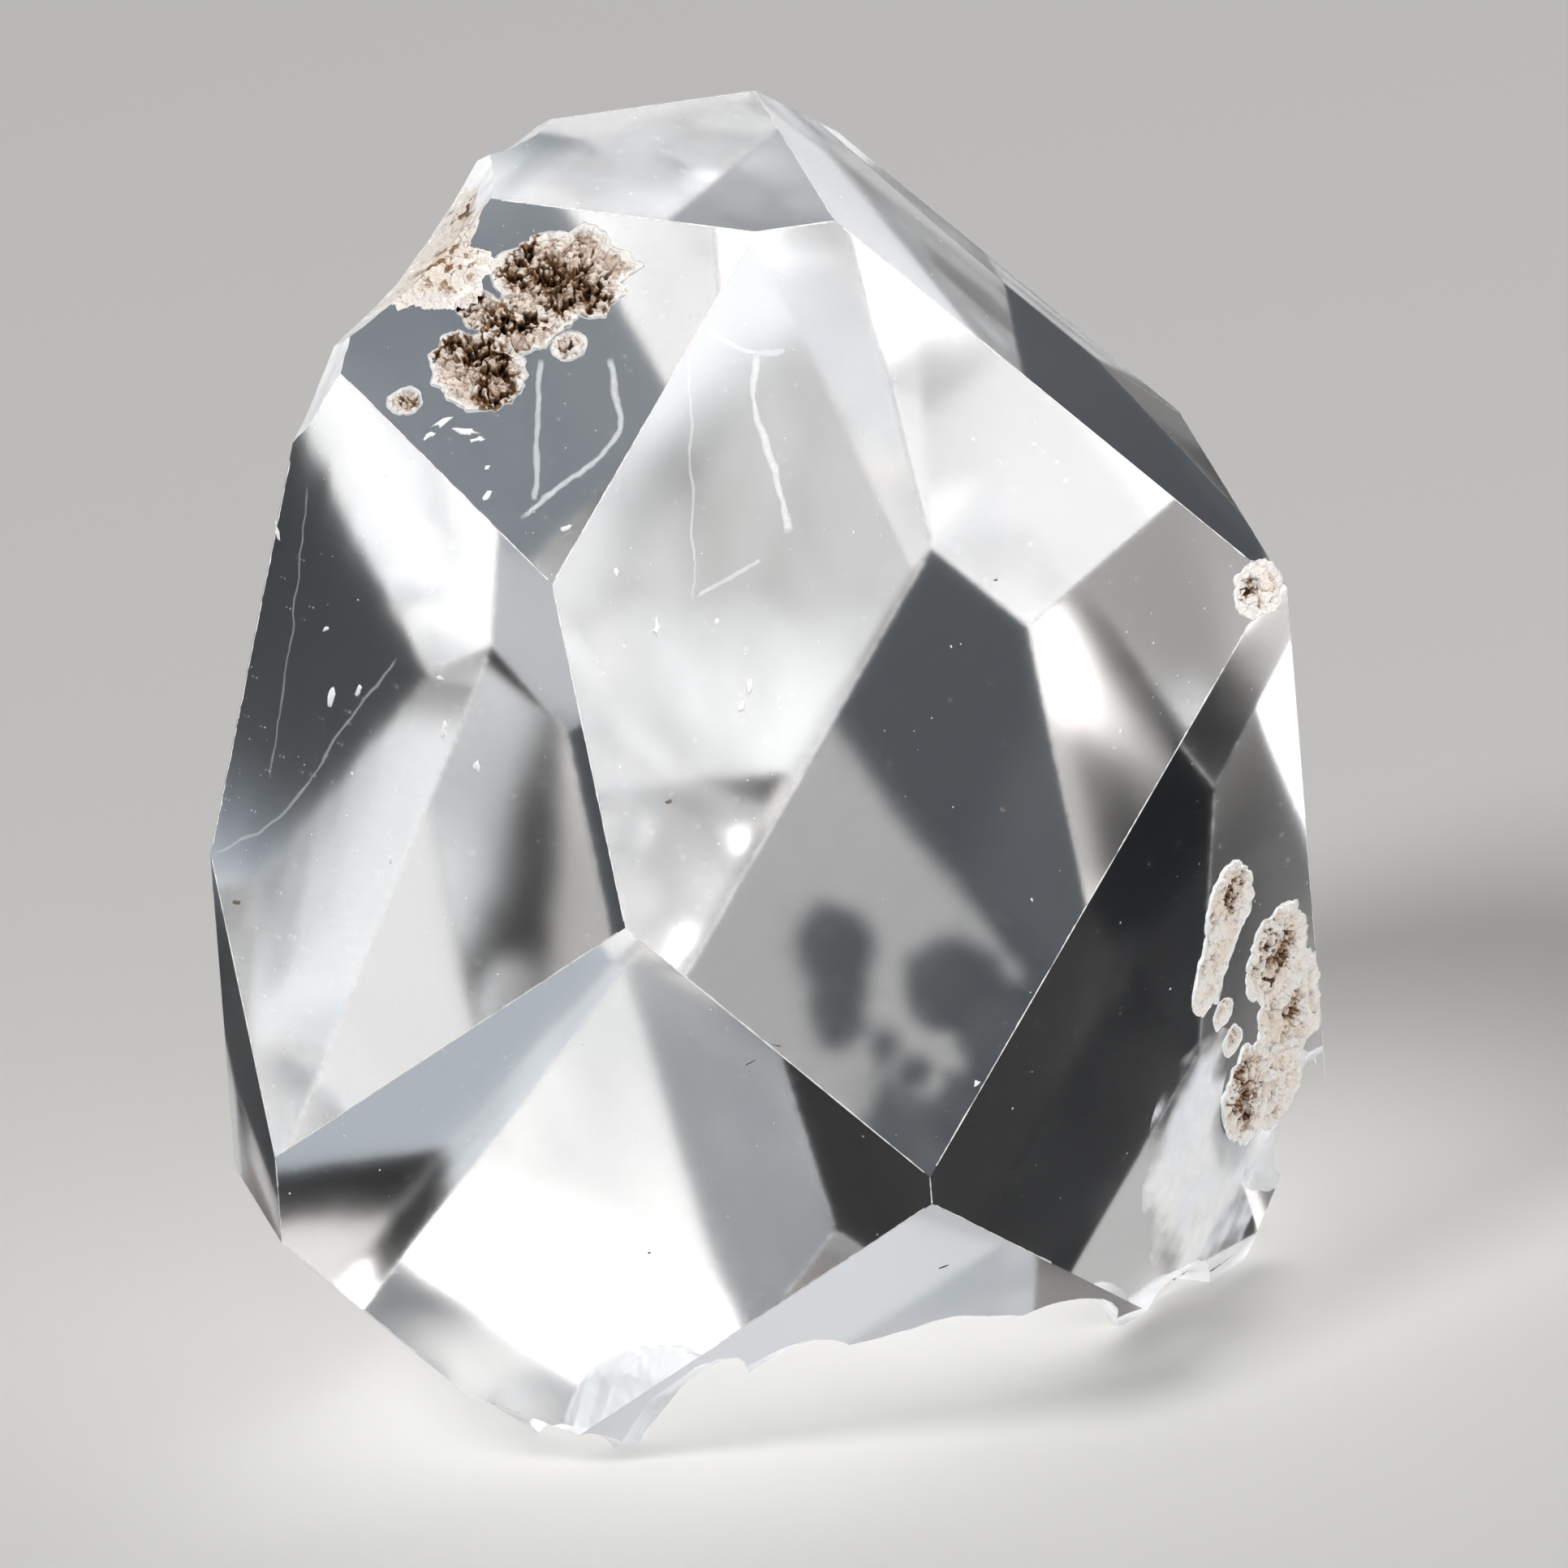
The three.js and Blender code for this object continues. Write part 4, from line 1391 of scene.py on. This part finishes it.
    def hang(self, light, azimuth, elevation, distance, aim, lit=None, blocking=None):
        way, aim = np.array(direction(azimuth, elevation)), np.array(aim)
        lamp = bpy.data.objects.new(light.name, light)
        bpy.context.scene.collection.objects.link(lamp)
        turn = Matrix(np.column_stack(self.facing(way)).tolist()).to_4x4()
        lamp.matrix_world = Matrix.Translation(((aim + way * distance) * MM).tolist()) @ turn
        lamp.visible_transmission = lamp.visible_glossy = False
        lamp.light_linking.receiver_collection = lit
        lamp.light_linking.blocker_collection = blocking

    def facing(self, way):
        side = unit(np.cross(UP, way))
        return side, np.cross(way, side), way

    def camera(self, scene, settings):
        rise, roll = math.radians(settings.elevation), math.radians(settings.roll)
        level = np.array([1.0, 0, 0])
        upright = np.array([0, math.sin(rise), math.cos(rise)])
        right = math.cos(roll) * level - math.sin(roll) * upright
        up = math.sin(roll) * level + math.cos(roll) * upright
        towards = np.cross(right, up)
        data = bpy.data.cameras.new("camera")
        data.type, data.ortho_scale = "ORTHO", settings.view_height
        data.clip_start, data.clip_end = 0.001, 10
        camera = bpy.data.objects.new("camera", data)
        scene.collection.objects.link(camera)
        aim = MIDDLE + VIEW_AIM[0] * right + VIEW_AIM[1] * up
        turn = Matrix(np.column_stack([right, up, towards]).tolist()).to_4x4()
        camera.matrix_world = Matrix.Translation(((aim + VIEW_DISTANCE * towards) * MM).tolist()) @ turn
        scene.camera = camera


# --- Add-on -----------------------------------------------------------------------------------


class HERKIMER_PT_panel(bpy.types.Panel):
    """Lists the pieces of the herkimer diamond"""

    bl_label = "Herkimer Diamond"
    bl_idname = "HERKIMER_PT_panel"
    bl_space_type = "VIEW_3D"
    bl_region_type = "UI"
    bl_category = "Herkimer"

    def draw(self, context):
        for operator in OPERATORS:
            self.layout.operator(operator.bl_idname)


SETTINGS = {
    "herkimer_quartz": QuartzSettings,
    "herkimer_crust": CrustSettings,
    "herkimer_marks": MarkSettings,
    "herkimer_stage": StageSettings,
}
OPERATORS = (
    HERKIMER_OT_crystal,
    HERKIMER_OT_crusts,
    HERKIMER_OT_edge_crust,
    HERKIMER_OT_veins,
    HERKIMER_OT_inclusions,
    HERKIMER_OT_edge_glint_and_wear,
    HERKIMER_OT_stage,
)


def register():
    for made in (*SETTINGS.values(), *OPERATORS, HERKIMER_PT_panel):
        bpy.utils.register_class(made)
    for name, group in SETTINGS.items():
        setattr(bpy.types.Scene, name, bpy.props.PointerProperty(type=group))


def unregister():
    for name in SETTINGS:
        delattr(bpy.types.Scene, name)
    for made in (HERKIMER_PT_panel, *reversed(OPERATORS), *SETTINGS.values()):
        bpy.utils.unregister_class(made)


def main():
    register()
    bpy.ops.herkimer.crystal()
    bpy.ops.herkimer.crusts()
    bpy.ops.herkimer.edge_crust()
    bpy.ops.herkimer.veins()
    bpy.ops.herkimer.inclusions()
    bpy.ops.herkimer.edge_wear()
    bpy.ops.herkimer.stage()


if __name__ == "__main__":
    main()
